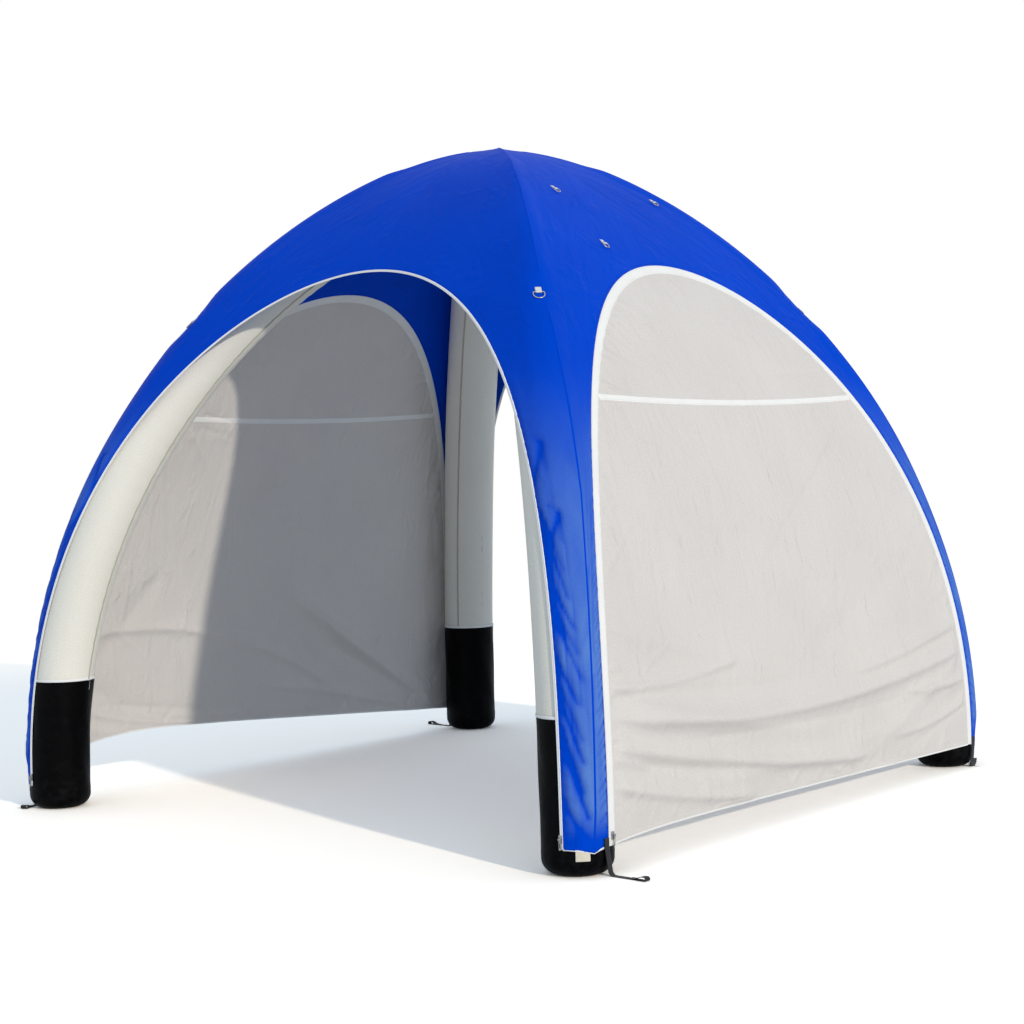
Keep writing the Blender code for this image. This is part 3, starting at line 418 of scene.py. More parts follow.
@dataclass(frozen=True)
class WovenCloth:
    """Plain-woven polyester with a thin coating: matt, slightly uneven in tone, softly creased."""

    name: str
    colour: str
    shade: str
    roughness: float
    crease_height: float
    crease_size: float = 0.06
    crumple_height: float = 0.002
    gloss: float = 0.3
    gloss_tint: str = "FFFFFF"
    # Colour of a paler sheen painted on the raised folds low on the legs
    fold_sheen: str | None = None
    # The real threads are 0.25 mm apart; drawn 3 mm apart so that the weave shows
    thread: float = 0.003

    def make(self) -> Material:
        """Weave from two crossed waves, long soft creases, a crumpled net and a cloudy tone.

        Returns:
            The material.
        """
        material, tree, shader = new_material(self.name)
        place = add_node(tree, "UVMap", uv_map=UV_NAME).outputs["UV"]
        warp, weft = (add_node(tree, "TexWave", {
            "Vector": place, "Scale": WAVE_PERIOD / self.thread, "Distortion": 0.4, "Detail": 1.0,
        }, bands_direction=axis) for axis in ("X", "Y"))
        weave = product(tree, warp.outputs["Fac"], weft.outputs["Fac"])
        drawn = add_node(tree, "Mapping", {
            "Vector": place, "Rotation": (0, 0, 0.5), "Scale": (1.0, 0.3, 1.0),
        })
        creases = add_node(tree, "TexNoise", {
            "Vector": drawn, "Scale": 1 / self.crease_size, "Detail": 3.0,
            "Distortion": 1.2,
        })
        wander = noise(tree, place, 6.0, 3.0)
        bent = add_node(tree, "VectorMath", {
            0: wander.outputs["Color"], 1: (0.22, 0.22, 0.0), 2: drawn,
        }, operation="MULTIPLY_ADD")
        cells = add_node(tree, "TexVoronoi", {
            "Vector": bent, "Scale": 0.7 / self.crease_size,
        }, feature="DISTANCE_TO_EDGE")
        crumple = add_node(tree, "MapRange", {
            "Value": cells, "From Max": 0.16, "To Min": 1.0, "To Max": 0.0,
        }, interpolation_type="SMOOTHSTEP")
        sparse = add_node(tree, "MapRange", {
            "Value": wander, "From Min": 0.45, "From Max": 0.7,
        }, interpolation_type="SMOOTHSTEP")
        crumpled = product(tree, crumple, sparse)
        cloudy = noise(tree, place, 2.2, 4.0)
        slub = noise(tree, place, 160.0, 2.0)
        tone = blend(tree, cloudy, linear(self.colour), linear(self.shade))
        fine = add_node(tree, "MapRange", {
            "Value": slub, "From Min": 0.3, "From Max": 0.7,
            "To Min": 0.95, "To Max": 1.05,
        })
        if self.fold_sheen:
            tone = self.paint_sheen(tree, creases, tone)
        dyed = add_node(tree, "VectorMath", {0: tone, "Scale": fine}, operation="SCALE")
        dull = add_node(tree, "MapRange", {
            "Value": creases,
            "To Min": self.roughness - 0.06, "To Max": self.roughness + 0.06,
        })
        threads = bump(tree, weave, 0.18, self.thread / 10)
        lines = bump(tree, crumpled, 0.7, self.crumple_height, threads)
        folds = bump(tree, creases, 0.6, self.crease_height, lines)
        feed(tree, shader, {
            "Base Color": dyed, "Roughness": dull,
            "Normal": folds, "Specular IOR Level": self.gloss,
            "Specular Tint": linear(self.gloss_tint),
        })
        return material

    def paint_sheen(self, tree: NodeTree, creases: Node, tone: Node) -> Node:
        """Paint a paler sheen on the cloth's raised folds, from 1.85 m down and most below 0.8 m.

        Args:
            tree: the cloth's node tree.
            creases: the height of its creases, whose tops get the painted sheen.
            tone: its colour so far.

        Returns:
            The mixed colour's node.
        """
        place = add_node(tree, "TexCoord").outputs["Object"]
        apart = add_node(tree, "SeparateXYZ", {"Vector": place})
        low = add_node(tree, "MapRange", {
            "Value": apart.outputs["Z"], "From Min": 1.85, "From Max": 0.8,
        })
        high = add_node(tree, "MapRange", {
            "Value": creases, "From Min": 0.3, "From Max": 0.7, "To Min": 0.6, "To Max": 1.1,
        })
        crest = add_node(tree, "Attribute", attribute_name=CREST_NAME, attribute_type="GEOMETRY")
        both = product(tree, crest.outputs["Fac"], high)
        # Painted sheen: the fold tops of the lower legs turn paler
        wear_and_sheen = product(tree, low, both, use_clamp=True)
        return blend(tree, wear_and_sheen, tone, linear(self.fold_sheen))


@dataclass(frozen=True)
class Tape:
    """Woven ribbon, coarser than the cloth, with a row of stitches near each edge."""

    name: str
    colour: str
    shade: str
    width: float
    roughness: float = 0.6
    sheen: float = 0.1
    gloss: float = 0.3
    # Real stitches are 3 mm long and ribs 0.6 mm wide; both are drawn twice as large
    stitch: float = 0.006
    rib: float = 0.0012

    def make(self) -> Material:
        """Ribs run across the tape; stitches are dashes in two lines along it.

        Returns:
            The material.
        """
        material, tree, shader = new_material(self.name)
        place = add_node(tree, "UVMap", uv_map=UV_NAME).outputs["UV"]
        ribs = add_node(tree, "TexWave", {
            "Vector": place, "Scale": WAVE_PERIOD / self.rib,
        }, bands_direction="Y")
        apart = add_node(tree, "SeparateXYZ", {"Vector": place})
        dash = add_node(tree, "Math", {0: apart.outputs["Y"], 1: self.stitch}, operation="MODULO")
        on = add_node(tree, "Math", {0: dash, 1: self.stitch * 0.7}, operation="LESS_THAN")
        edge = add_node(tree, "Math", {
            0: apart.outputs["X"], 1: self.width / 2,
        }, operation="PINGPONG")
        line = add_node(tree, "Math", {
            0: edge, 1: self.width * 0.14, 2: self.width * 0.035,
        }, operation="COMPARE")
        thread = product(tree, line, on)
        grubby = noise(tree, place, 9.0, 5.0)
        tone = blend(tree, grubby, linear(self.colour), linear(self.shade))
        sewn = blend(tree, thread, tone, linear(self.shade))
        woven = bump(tree, ribs.outputs["Fac"], 0.3, self.rib / 3)
        stitched = bump(tree, thread, 0.5, 0.0006, woven)
        feed(tree, shader, {
            "Base Color": sewn, "Normal": stitched,
            "Roughness": self.roughness, "Sheen Weight": self.sheen, "Specular IOR Level": self.gloss,
        })
        return material


@dataclass(frozen=True)
class CoatedVinyl:
    """Calendered vinyl over a scrim: satin black, with a pebbled grain and dusty scuffs."""

    name: str = "coated vinyl, calendered"
    colour: str = "040405"
    dust: str = "232325"
    gloss: float = 0.05

    def make(self) -> Material:
        """A pebble grain drawn 4 mm across, so that it shows, and dust near the ground.

        Returns:
            The material.
        """
        material, tree, shader = new_material(self.name)
        place = add_node(tree, "TexCoord").outputs["Object"]
        pebbles = add_node(tree, "TexVoronoi", {"Vector": place, "Scale": 250.0})
        dimples = noise(tree, place, 16.0, 2.0)
        scuffs = add_node(tree, "TexNoise", {
            "Vector": place, "Scale": 30.0, "Detail": 8.0, "Roughness": 0.7,
        })
        apart = add_node(tree, "SeparateXYZ", {"Vector": place})
        low = add_node(tree, "MapRange", {
            "Value": apart.outputs["Z"], "From Max": 0.22, "To Min": 0.55, "To Max": 0.08,
        })
        spread = add_node(tree, "MapRange", {"Value": scuffs, "From Min": 0.45, "From Max": 0.75})
        dusty = product(tree, spread, low)
        tone = blend(tree, dusty, linear(self.colour), linear(self.dust))
        dull = add_node(tree, "MapRange", {"Value": dusty, "To Min": 0.34, "To Max": 0.8})
        grain = bump(tree, pebbles, 0.12, 0.0008)
        soft = bump(tree, dimples, 0.5, 0.008, grain)
        feed(tree, shader, {
            "Base Color": tone, "Roughness": dull,
            "Normal": soft, "Specular IOR Level": self.gloss,
        })
        return material


@dataclass(frozen=True)
class HardSurface:
    """Plated metal or moulded plastic: a tight highlight, dulled in clouds, over a fine grain."""

    name: str
    colour: str
    # Colour of the worn places
    wear_and_sheen: str
    roughness: float = 0.4
    dulled: float = 0.12
    # Scale and detail of the wear and of the grain; a mould's texture is drawn 1 mm across
    wear: tuple[float, float] = (60.0, 5.0)
    grain: tuple[float, float] = (900.0, 2.0)
    grain_strength: float = 0.15
    grain_height: float = 0.0003
    metallic: float = 0.0

    def make(self) -> Material:
        """Wear goes into the tone and the roughness, and the grain is a bump.

        Returns:
            The material.
        """
        material, tree, shader = new_material(self.name)
        place = add_node(tree, "TexCoord").outputs["Object"]
        wear, grain = (
            noise(tree, place, scale, detail)
            for scale, detail in (self.wear, self.grain)
        )
        feed(tree, shader, {
            "Base Color": blend(tree, wear, linear(self.colour), linear(self.wear_and_sheen)),
            "Roughness": add_node(tree, "MapRange", {
                "Value": wear,
                "To Min": self.roughness - 0.08, "To Max": self.roughness + self.dulled,
            }),
            "Normal": bump(tree, grain, self.grain_strength, self.grain_height),
            "Metallic": self.metallic,
        })
        return material


@dataclass(frozen=True)
class LoopPile:
    """Knitted loop pile of a hook-and-loop patch: fuzzy, matt, with a clumped surface."""

    name: str = "loop pile, knitted polyamide"
    colour: str = "EAE2D0"
    shade: str = "CFC3A8"
    roughness: float = 0.95
    sheen: float = 0.5

    def make(self) -> Material:
        """Loops 1.5 mm across as small cells, darker between them, where the pile's bump is low.

        Returns:
            The material.
        """
        material, tree, shader = new_material(self.name)
        place = add_node(tree, "TexCoord").outputs["Object"]
        loops = add_node(tree, "TexVoronoi", {"Vector": place, "Scale": 650.0})
        clumps = noise(tree, place, 120.0, 4.0)
        mixed = product(tree, loops, clumps)
        tone = blend(tree, mixed, linear(self.colour), linear(self.shade))
        pile = bump(tree, mixed, 0.8, 0.0015, invert=True)
        feed(tree, shader, {
            "Base Color": tone, "Normal": pile,
            "Roughness": self.roughness, "Sheen Weight": self.sheen,
        })
        return material


# The tent's form


@dataclass(frozen=True)
class BeamLine:
    """Middle line of an air beam: a short upright leg, then an arch to the crown."""

    half_spacing: float = 1.3525
    straight: float = 0.15
    rise: float = 2.43835
    power: float = 1.235

    def centre(self, angle: Array) -> tuple[Array, Array]:
        """The middle line: half the spacing times a power of the cosine, the rise times the sine.

        Args:
            angle: angle up the arch; below 0 it stands for a place on the upright leg.

        Returns:
            Reach along one side, and height.
        """
        arch = np.maximum(angle, 0.0)
        reach = self.half_spacing * np.cos(arch) ** self.power
        return reach, self.straight + self.rise * np.where(angle > 0, np.sin(arch), angle)

    def normal(self, angle: Array, spread: float = 1.0) -> tuple[Array, Array]:
        """Outward direction of the middle line in side view.

        Args:
            angle: angle up the arch.
            spread: what the reach is scaled by, root 2 in the beam's own plane.

        Returns:
            Its level and its upright part.
        """
        arch = np.clip(angle, 0.0, math.pi / 2 - 1e-7)
        up = self.rise * np.cos(arch) ** (2 - self.power)
        run = self.power * self.half_spacing * spread * np.sin(arch)
        length = np.hypot(up, run)
        return up / length, run / length

    def angle_at(self, height: Array) -> Array:
        """The angle at which the middle line has a height."""
        share = (height - self.straight) / self.rise
        return np.where(share > 0, np.arcsin(np.clip(share, 0.0, 1.0)), share)


@dataclass(frozen=True)
class ClothForm:
    """The roof's surface: flat across between two beams and wrapped a quarter turn round each."""

    line: BeamLine = BeamLine()
    radius: float = 0.1278
    hem: float = 0.10
    arch_top: float = 2.16
    shoulder: float = 0.889

    def wrap(self, angle: Array) -> Array:
        """Angle between the side's normal and the next side's normal."""
        _, normal_z = self.line.normal(angle)
        return np.arccos(np.clip(normal_z * normal_z, -1.0, 1.0 - 1e-9))

    def place(self, angle: Array, across: Array, lift: Array = 0.0) -> tuple[Array, Array]:
        """Points and normals of the +X side.

        Within the beams' reach the surface is the beam's line plus the radius times the side's
        normal. Past it, the direction turns evenly from this side's normal towards the next
        side's, by the distance past the reach over the length of the whole wrap.

        Args:
            angle: angle up the arch.
            across: distance along the cloth from the middle of the side, signed.
            lift: height over the surface.

        Returns:
            Points and unit normals.
        """
        reach, height = self.line.centre(angle)
        normal_x, normal_z = self.line.normal(angle)
        wrap = self.wrap(angle)
        past = np.maximum(np.abs(across) - reach, 0.0)
        share = np.clip(past / (self.radius * wrap), 0.0, 1.0)
        here = np.sin((1 - share) * wrap) / np.sin(wrap)
        there = np.sin(share * wrap) / np.sin(wrap)
        sign = np.where(across < 0, -1.0, 1.0)
        normal = np.stack([here * normal_x, there * normal_x * sign, (here + there) * normal_z], -1)
        base = joined(reach, sign * np.minimum(np.abs(across), reach), height)
        return base + (self.radius + np.asarray(lift))[..., None] * normal, normal

    def opening(self, half: float, turn: Array, inset: float = 0.0) -> tuple[Array, Array]:
        """An arch's edge: half its width times the cosine, its rise times the sine to a power."""
        rise = self.arch_top - self.hem - inset
        return (half - inset) * np.cos(turn), self.hem + rise * np.sin(turn) ** self.shoulder

    def locate(self, across: Array, up: Array) -> tuple[Array, Array]:
        """Find points seen across and up a side on its cloth, by iteration.

        Args:
            across: distance from the side's middle line, straight across.
            up: height over the ground.

        Returns:
            Angle up the arch and distance along the cloth.
        """
        angle = self.line.angle_at(up)
        for _ in range(14):
            reach, _ = self.line.centre(angle)
            normal_x, normal_z = self.line.normal(angle)
            wrap = self.wrap(angle)
            past = np.maximum(across - reach, 0.0) / self.radius
            share = np.arcsin(np.clip(past * np.sin(wrap) / normal_x, 0.0, 1.0)) / wrap
            out = (np.sin((1 - share) * wrap) + np.sin(share * wrap)) / np.sin(wrap) * normal_z
            angle = self.line.angle_at(up - self.radius * out)
        reach, _ = self.line.centre(angle)
        return angle, np.where(across > reach, reach + share * self.radius * self.wrap(angle), across)


def fold_crest(share: Array) -> Array:
    """A rounded edge over straight slopes: e to -1.6 (root of (share squared + 0.04) - 0.2)."""
    return np.exp(-1.6 * (np.sqrt(share ** 2 + 0.04) - 0.2))


@dataclass(frozen=True)
class Creases:
    """Ridges in cloth, each a segment with a narrow rounded crest that falls off to both sides."""

    rows: tuple[tuple[float, float, float, float, float, float], ...]
    taper: float = 0.6

    def height(self, across: Array, up: Array) -> Array:
        """Sum over the segments of depth times a crest, which fades along the segment.

        Args:
            across: first coordinate of each point, in metres.
            up: second coordinate of each point, in metres.

        Returns:
            The height of the cloth at each point.
        """
        total = np.zeros(np.broadcast_shapes(across.shape, up.shape))
        for start_x, start_y, end_x, end_y, width, depth in self.rows:
            run_x, run_y = end_x - start_x, end_y - start_y
            length = run_x * run_x + run_y * run_y
            share = np.clip(((across - start_x) * run_x + (up - start_y) * run_y) / length, 0.0, 1.0)
            distance = np.hypot(across - start_x - share * run_x, up - start_y - share * run_y)
            total += depth * fold_crest(distance / width) * (1 - self.taper * share)
        return total


@dataclass(frozen=True)
class Swag:
    """A fold that hangs between two held points: gentle over its crest and steep under it."""

    points: tuple[tuple[float, float], tuple[float, float], tuple[float, float]]
    depth: float
    above: float
    below: float

    def height(self, across: Array, up: Array) -> Array:
        """Depth times a crest of the distance from the points' parabola, faded at both ends.

        The crest has one width above the line and a smaller one below it.

        Args:
            across: first coordinate of each point, in metres.
            up: second coordinate of each point, in metres.

        Returns:
            The height of the cloth at each point.
        """
        places, heights = np.array(self.points).T
        off = up - np.polyval(np.polyfit(places, heights, 2), across)
        crest = fold_crest(off / np.where(off > 0, self.above, self.below))
        share = (across - places[0]) / (places[2] - places[0])
        return self.depth * crest * smooth(share / 0.12) * smooth((1 - share) / 0.12)


FORM = ClothForm()
CENTRE = np.array([0.0, 0.0, 0.9])
# The rows end just short of the crown, where each side narrows to a point
CROWN_ANGLE = math.pi / 2 - 0.0005
# The beams stand on the diagonals, so their reach goes in equal parts along X and Y
DIAGONAL = math.sqrt(0.5)
OUTWARD = np.array([DIAGONAL, -DIAGONAL, 0.0])
SIDEWAYS = np.array([DIAGONAL, DIAGONAL, 0.0])
# A tie ring's bar stands this far off the cloth
BAR_HEIGHT = 0.0052


# Cloth over the beams


@dataclass(frozen=True)
class Opening:
    """Half width of an opening in the roof, and where the ridge seam beside it runs."""

    half: float
    # Seam's place round the beam from a wall's side, as a share of the quarter turn, up the arch
    seam_angles: tuple[float, ...] = (-0.05, 0.25, 0.46, 0.59, 0.73, 0.85, 1.2, 1.42, 1.571)
    seam_shares: tuple[float, ...] = (0.31, 0.24, 0.19, 0.24, 0.32, 0.42, 0.44, 0.48, 0.5)

    def seam_share(self, angle: Array, wall: bool) -> Array:
        """The seam's share of the wrap, counted from this side."""
        share = np.interp(angle, self.seam_angles, self.seam_shares)
        return share if wall else 1 - share


DOOR = Opening(half=1.385)
WALL = Opening(half=1.35)


@dataclass(frozen=True)
class Dent:
    """A place where the roof lies flat under a fitting sewn to it."""

    point: tuple[float, float, float]
    normal: tuple[float, float, float]
    spread: float = 0.035

    def apply(self, points: Array) -> Array:
        """Move points onto the fitting's plane, less and less by a bell of the distance from it.

        Args:
            points: the cloth's points.

        Returns:
            The moved points.
        """
        normal = np.array(self.normal)
        away = points - np.array(self.point)
        off = away @ normal
        level = np.linalg.norm(away - off[..., None] * normal, axis=-1)
        near = np.exp(-((level / self.spread) ** 4)) * (np.abs(off) < 0.05)
        return points - (off * near)[..., None] * normal


@dataclass
class Canopy:
    """The roof: one sheet over the crossing beams, with four ridge seams and four arches."""

    material: Material
    piping: Material
    dents: list[Dent]
    rows: int = 260
    columns: int = 22
    thickness: float = 0.0014
    fullness: float = 0.010
    hem_dip: float = 0.014
    ridge_height: float = 0.008
    crest_height: float = 0.009
    crest_width: float = 0.075
    pucker_height: float = 0.0034
    pucker_length: float = 0.038
    ring_clearance: float = 0.12
    # Keeps the two halves' patterns from mirroring each other at the ridge
    pattern_shift: float = 3.0
    seam_press: float = 0.0022
    seam_press_reach: float = 0.09
    # Widths and thicknesses of what is sewn along the edges and seams
    seam_size: tuple[float, float] = (0.008, 0.0030)
    binding_size: tuple[float, float] = (0.011, 0.0036)
    bead_size: tuple[float, float] = (0.004, 0.005)
    turned_size: tuple[float, float] = (0.011, 0.0034)
    piping_size: tuple[float, float] = (0.0075, 0.0042)
    piping_lift: float = 0.0004

    def edge_line(self, side: Side, count: int = 600) -> tuple[Array, Array]:
        """The cloth's free edge, then a side's middle line from the arch's top to the crown.

        Args:
            side: the side.
            count: the number of points on the free edge.

        Returns:
            Angle up the arch and distance across.
        """
        half = (WALL if side.has_wall else DOOR).half
        turn = np.linspace(0.0, math.pi / 2, count)
        across, up = FORM.opening(half, turn)
        angle, along = FORM.locate(across, up)
        middle = np.linspace(angle[-1], CROWN_ANGLE, count // 2)[1:]
        return np.concatenate([angle, middle]), np.concatenate([along, 0 * middle])

    def seam_line(self, side: Side, angle: Array) -> Array:
        """Distance across of the ridge seam: the beam's reach plus the seam's share of the wrap."""
        share = (WALL if side.has_wall else DOOR).seam_share(angle, side.has_wall)
        return FORM.line.centre(angle)[0] + share * FORM.radius * FORM.wrap(angle)

    def spaced(self, angle: Array, across: Array, corner: int | None = None) -> tuple[Array, Array]:
        """A line's places at the rows, spaced by its length and closer together on the legs.

        Args:
            angle: angles of the line's points.
            across: their distances across.
            corner: the number of a point that one row has to meet.

        Returns:
            Angle and distance across at each row.
        """
        length = arc_length(FORM.place(angle, across)[0])
        row = np.linspace(0.0, 1.0, self.rows)
        share = 0.45 * row + 0.55 * row ** 3
        at = share * length[-1]
        if corner is not None:
            at[np.argmin(np.abs(at - length[corner]))] = length[corner]
        return np.interp(at, length, angle), np.interp(at, length, across)

    def tucks(self, side: Side, sign: int) -> Creases:
        """Hollows in a leg's strip: long slanting ones by a doorway, short ones by a wall's zip.

        The first coordinate is the distance from the free edge, the second that from the hem.

        Args:
            side: the side.
            sign: -1 or 1, for its first or second half.

        Returns:
            The hollows.
        """
        rng = np.random.default_rng(side.value + 7 + sign)
        rows = []
        if side.has_wall:
            for step in range(30):
                low = 0.10 + step * 0.036 + rng.uniform(-0.008, 0.008)
                depth = rng.uniform(0.003, 0.0065)
                high, end = low + rng.uniform(0.02, 0.04), rng.uniform(0.035, 0.05)
                rows.append((0.004, high, end, low, 0.006, depth))
        else:
            for step in range(11):
                low = 0.02 + step * 0.09 + rng.uniform(-0.018, 0.018)
                high, depth = low + rng.uniform(0.12, 0.24), rng.uniform(0.007, 0.014)
                end = rng.uniform(0.070, 0.092)
                start, width = rng.uniform(0.008, 0.016), rng.uniform(0.0105, 0.014)
                rows.append((start, high, end, low, width, depth))
            rows.append((0.024, 1.06, 0.032, 0.70, 0.015, 0.009))
            for knot in (1.10, 1.36):
                knot += rng.uniform(-0.02, 0.02)
                rows.append((0.088, knot, 0.012, knot - 0.17, 0.013, 0.013))
                rows.append((0.094, knot + 0.012, 0.055, knot + 0.020, 0.006, 0.008))
                rows.append((0.090, knot, 0.084, knot - 0.10, 0.006, 0.007))
        for _ in range(6):
            start_x, start_y = rng.uniform(0.04, 0.1), rng.uniform(0.5, 1.5)
            end = (start_x + rng.uniform(-0.012, 0.012), max(start_y - rng.uniform(0.3, 0.7), 0.03))
            rows.append((start_x, start_y, *end, 0.006, rng.uniform(0.002, 0.0045)))
        return Creases(tuple(rows), 0.3)

    def slack(self, side: Side, sign: int) -> Creases:
        """Low ridges in the cloth over an arch, by distance from the ridge seam and from the hem.

        Args:
            side: the side.
            sign: -1 or 1, for its first or second half.

        Returns:
            The ridges.
        """
        rng = np.random.default_rng(side.value + 70 + sign)
        rows = []
        for _ in range(12):
            start_x, start_y = rng.uniform(0.04, 0.3), rng.uniform(1.35, 2.3)
            length, lean = rng.uniform(0.25, 0.5), rng.uniform(-0.3, 0.5)
            end = (start_x + length * math.cos(lean), start_y - length * math.sin(lean))
            width, depth = rng.uniform(0.009, 0.018), rng.uniform(0.001, 0.0026)
            rows.append((start_x, start_y, *end, width, depth))
        return Creases(tuple(rows))

    def half(self, side: Side, sign: int) -> tuple[Array, Array, Array]:
        """Half a side's cloth, from its free edge to the ridge seam.

        Each row runs straight, in angle and distance across, from the edge line to the seam. The
        lift is the strip's fullness less its tucks, the low ridges, the puckers along the edge (a
        wave times a bell of the distance from it), a power of the share of the way from the flat
        cloth to the seam, and the ridge's own crest.

        Args:
            side: the side.
            sign: -1 or 1, for its first or second half.

        Returns:
            Points on the +X side, their UV, and how far each is up a fold.
        """
        count = 600
        edge_angle, edge_across = self.spaced(*self.edge_line(side, count), corner=count - 1)
        seam_angle = np.linspace(FORM.line.angle_at(FORM.hem), CROWN_ANGLE, 800)
        seam_angle, seam_across = self.spaced(seam_angle, self.seam_line(side, seam_angle))
        step = 1 - (1 - np.linspace(0.0, 1.0, self.columns)) ** 1.35
        angle = edge_angle[:, None] + (seam_angle - edge_angle)[:, None] * step
        across = edge_across[:, None] + (seam_across - edge_across)[:, None] * step
        foot = np.exp(-((np.arange(self.rows) / 6.0) ** 2))[:, None]
        angle = angle - foot * self.hem_dip * step ** 2 / FORM.line.rise
        base, _ = FORM.place(angle, across)
        width = np.cumsum(np.linalg.norm(np.diff(base, axis=1), axis=-1), axis=1)
        from_edge = np.concatenate([0 * width[:, :1], width], 1)
        from_seam = from_edge[:, -1:] - from_edge
        along = np.broadcast_to(arc_length(base[:, -1])[:, None], from_seam.shape)
        inner = smooth(from_seam / 0.012) * smooth(from_edge / 0.02) * smooth((3.2 - along) / 0.5)
        inner = inner * np.where(along > 2.0, smooth(np.abs(across) / 0.25), 1.0)
        # The strip is fuller than the beam it lies on, and each tuck draws it back to the beam
        full = self.fullness * smooth((along - 0.03) / 0.12) * smooth((1.9 - along) / 0.7)
        full = full * smooth(from_edge / (0.02 if side.has_wall else 0.04))
        drawn = self.tucks(side, sign).height(from_edge, along) * smooth(from_seam / 0.012)
        strip = np.maximum(full - drawn, 0.0)
        # How far up the strip's fullness each point is; the roof paints a paler sheen there
        wear_and_sheen = strip / self.fullness
        lift = strip + np.maximum(self.slack(side, sign).height(from_seam, along), 0.0) * inner
        sway = 2.5 * np.sin(along * 2.3 + side.value + sign)
        wave = np.sin(2 * np.pi * along / self.pucker_length + sway)
        calm = smooth(from_edge / 0.006) * np.exp(-((from_edge / 0.035) ** 2))
        calm = calm * smooth((2.6 - along) / 0.4)
        lift = lift + self.pucker_height * np.maximum(wave, -0.1) * calm
        reach, _ = FORM.line.centre(angle)
        past = np.maximum(across - reach, 0.0) / np.maximum(seam_across[:, None] - reach, 1e-6)
        firm = 0.35 + 0.65 * smooth((along - 1.0) / 0.8)
        ridge = self.ridge_height * np.clip(past, 0, 1) ** 1.6
        lift = lift + ridge * smooth(FORM.wrap(angle) / 0.7) * firm
        crest = np.clip(1 - from_seam / self.crest_width, 0, 1) ** 1.3
        ring_at = np.interp(RIDGE_PLACE.origin[2], base[:, -1, 2], along[:, -1])
        # The ridge lies flat under its ring, which swings down over it
        crest = crest * (1 - np.exp(-(((along - ring_at) / self.ring_clearance) ** 4)))
        crest = self.crest_height * crest * smooth((along - 0.9) / 0.9)
        lift = lift + crest * smooth((3.25 - along) / 0.12)
        points, _ = FORM.place(angle, sign * across, lift)
        return points, joined(sign * (from_seam + self.pattern_shift), along), wear_and_sheen

    def build(self) -> Object:
        """The whole roof, with its eight halves merged along the seams and middle lines.

        Returns:
            The roof.
        """
        skin = Skin()
        for side in Side:
            for sign in (-1, 1):
                points, uv, crest = self.half(side, sign)
                points = turned(points, side.value)
                for dent in self.dents:
                    points = dent.apply(points)
                skin.grid(points, uv, CENTRE, crest=crest)
        roof = skin.build("canopy", self.material)
        thicken(roof, self.thickness)
        return roof

    def build_ridge_seam(self, side: Side, sign: int) -> Object:
        """The felled seam where two sides' cloth meets, from a leg's hem to near the crown.

        Args:
            side: the side whose cloth it is measured on.
            sign: -1 or 1, for its first or second half.

        Returns:
            The seam.
        """
        points, _, _ = self.half(side, sign)
        path = points[:, -1]
        out = unit(path - np.array([0.0, 0.0, 0.4]))
        inner = unit(path - points[:, -3])
        out = unit(out - np.sum(out * inner, -1, keepdims=True) * inner * 0.5)
        keep = slice(2, int(self.rows * 0.985))
        path, out = turned(path[keep], side.value), turned(out[keep], side.value)
        for dent in self.dents:
            # The seam is pressed flat under a ring, so that the ring can swing down over it
            away = np.linalg.norm(path - np.array(dent.point), axis=-1) / self.seam_press_reach
            path = path - self.seam_press * np.exp(-(away ** 4))[:, None] * out
        name = f"ridge_seam_{side.label}_{'back' if sign > 0 else 'front'}"
        return closed_body(name, self.material, *swept(path, out, oval(*self.seam_size, 12, 0.7)))

    def arch_edge(self, side: Side, half: float, profile: Array, lift: float) -> tuple[Array, Array]:
        """A strip along an arch's edge from hem to hem, carried on the cloth's surface.

        Args:
            side: the side.
            half: half the arch's width at the hem.
            profile: the strip's outline.
            lift: how far the outline's middle is off the surface.

        Returns:
            The strip's points and UV.
        """
        turn = np.linspace(0.0, math.pi / 2, 220)
        angle, across = FORM.locate(*FORM.opening(half, turn))
        angle = np.concatenate([angle, angle[-2::-1]])
        across = np.concatenate([across, -across[-2::-1]])
        path, normal = FORM.place(angle, across, lift)
        points, uv = swept(path, normal, profile)
        return turned(points, side.value), uv

    def build_door_edge(self, side: Side) -> Object:
        """White binding with a zip's bead, round a doorway's arch.

        Args:
            side: the doorway's side.

        Returns:
            The binding.
        """
        skin = Skin()
        binding, bead = oval(*self.binding_size, 14, 0.7), oval(*self.bead_size, 10)
        skin.grid(*self.arch_edge(side, DOOR.half - 0.004, binding, 0.0008), caps=True)
        skin.grid(*self.arch_edge(side, DOOR.half - 0.0005, bead, 0.0015), caps=True)
        return skin.build(f"door_edge_{side.label}", self.piping, closed=True)

    def build_wall_edge(self, side: Side) -> Object:
        """The roof's turned and stitched edge along a wall's zip."""
        edge = self.arch_edge(side, WALL.half + 0.0065, oval(*self.turned_size, 12, 0.7), 0.0006)
        return closed_body(f"roof_edge_{side.label}", self.material, *edge)

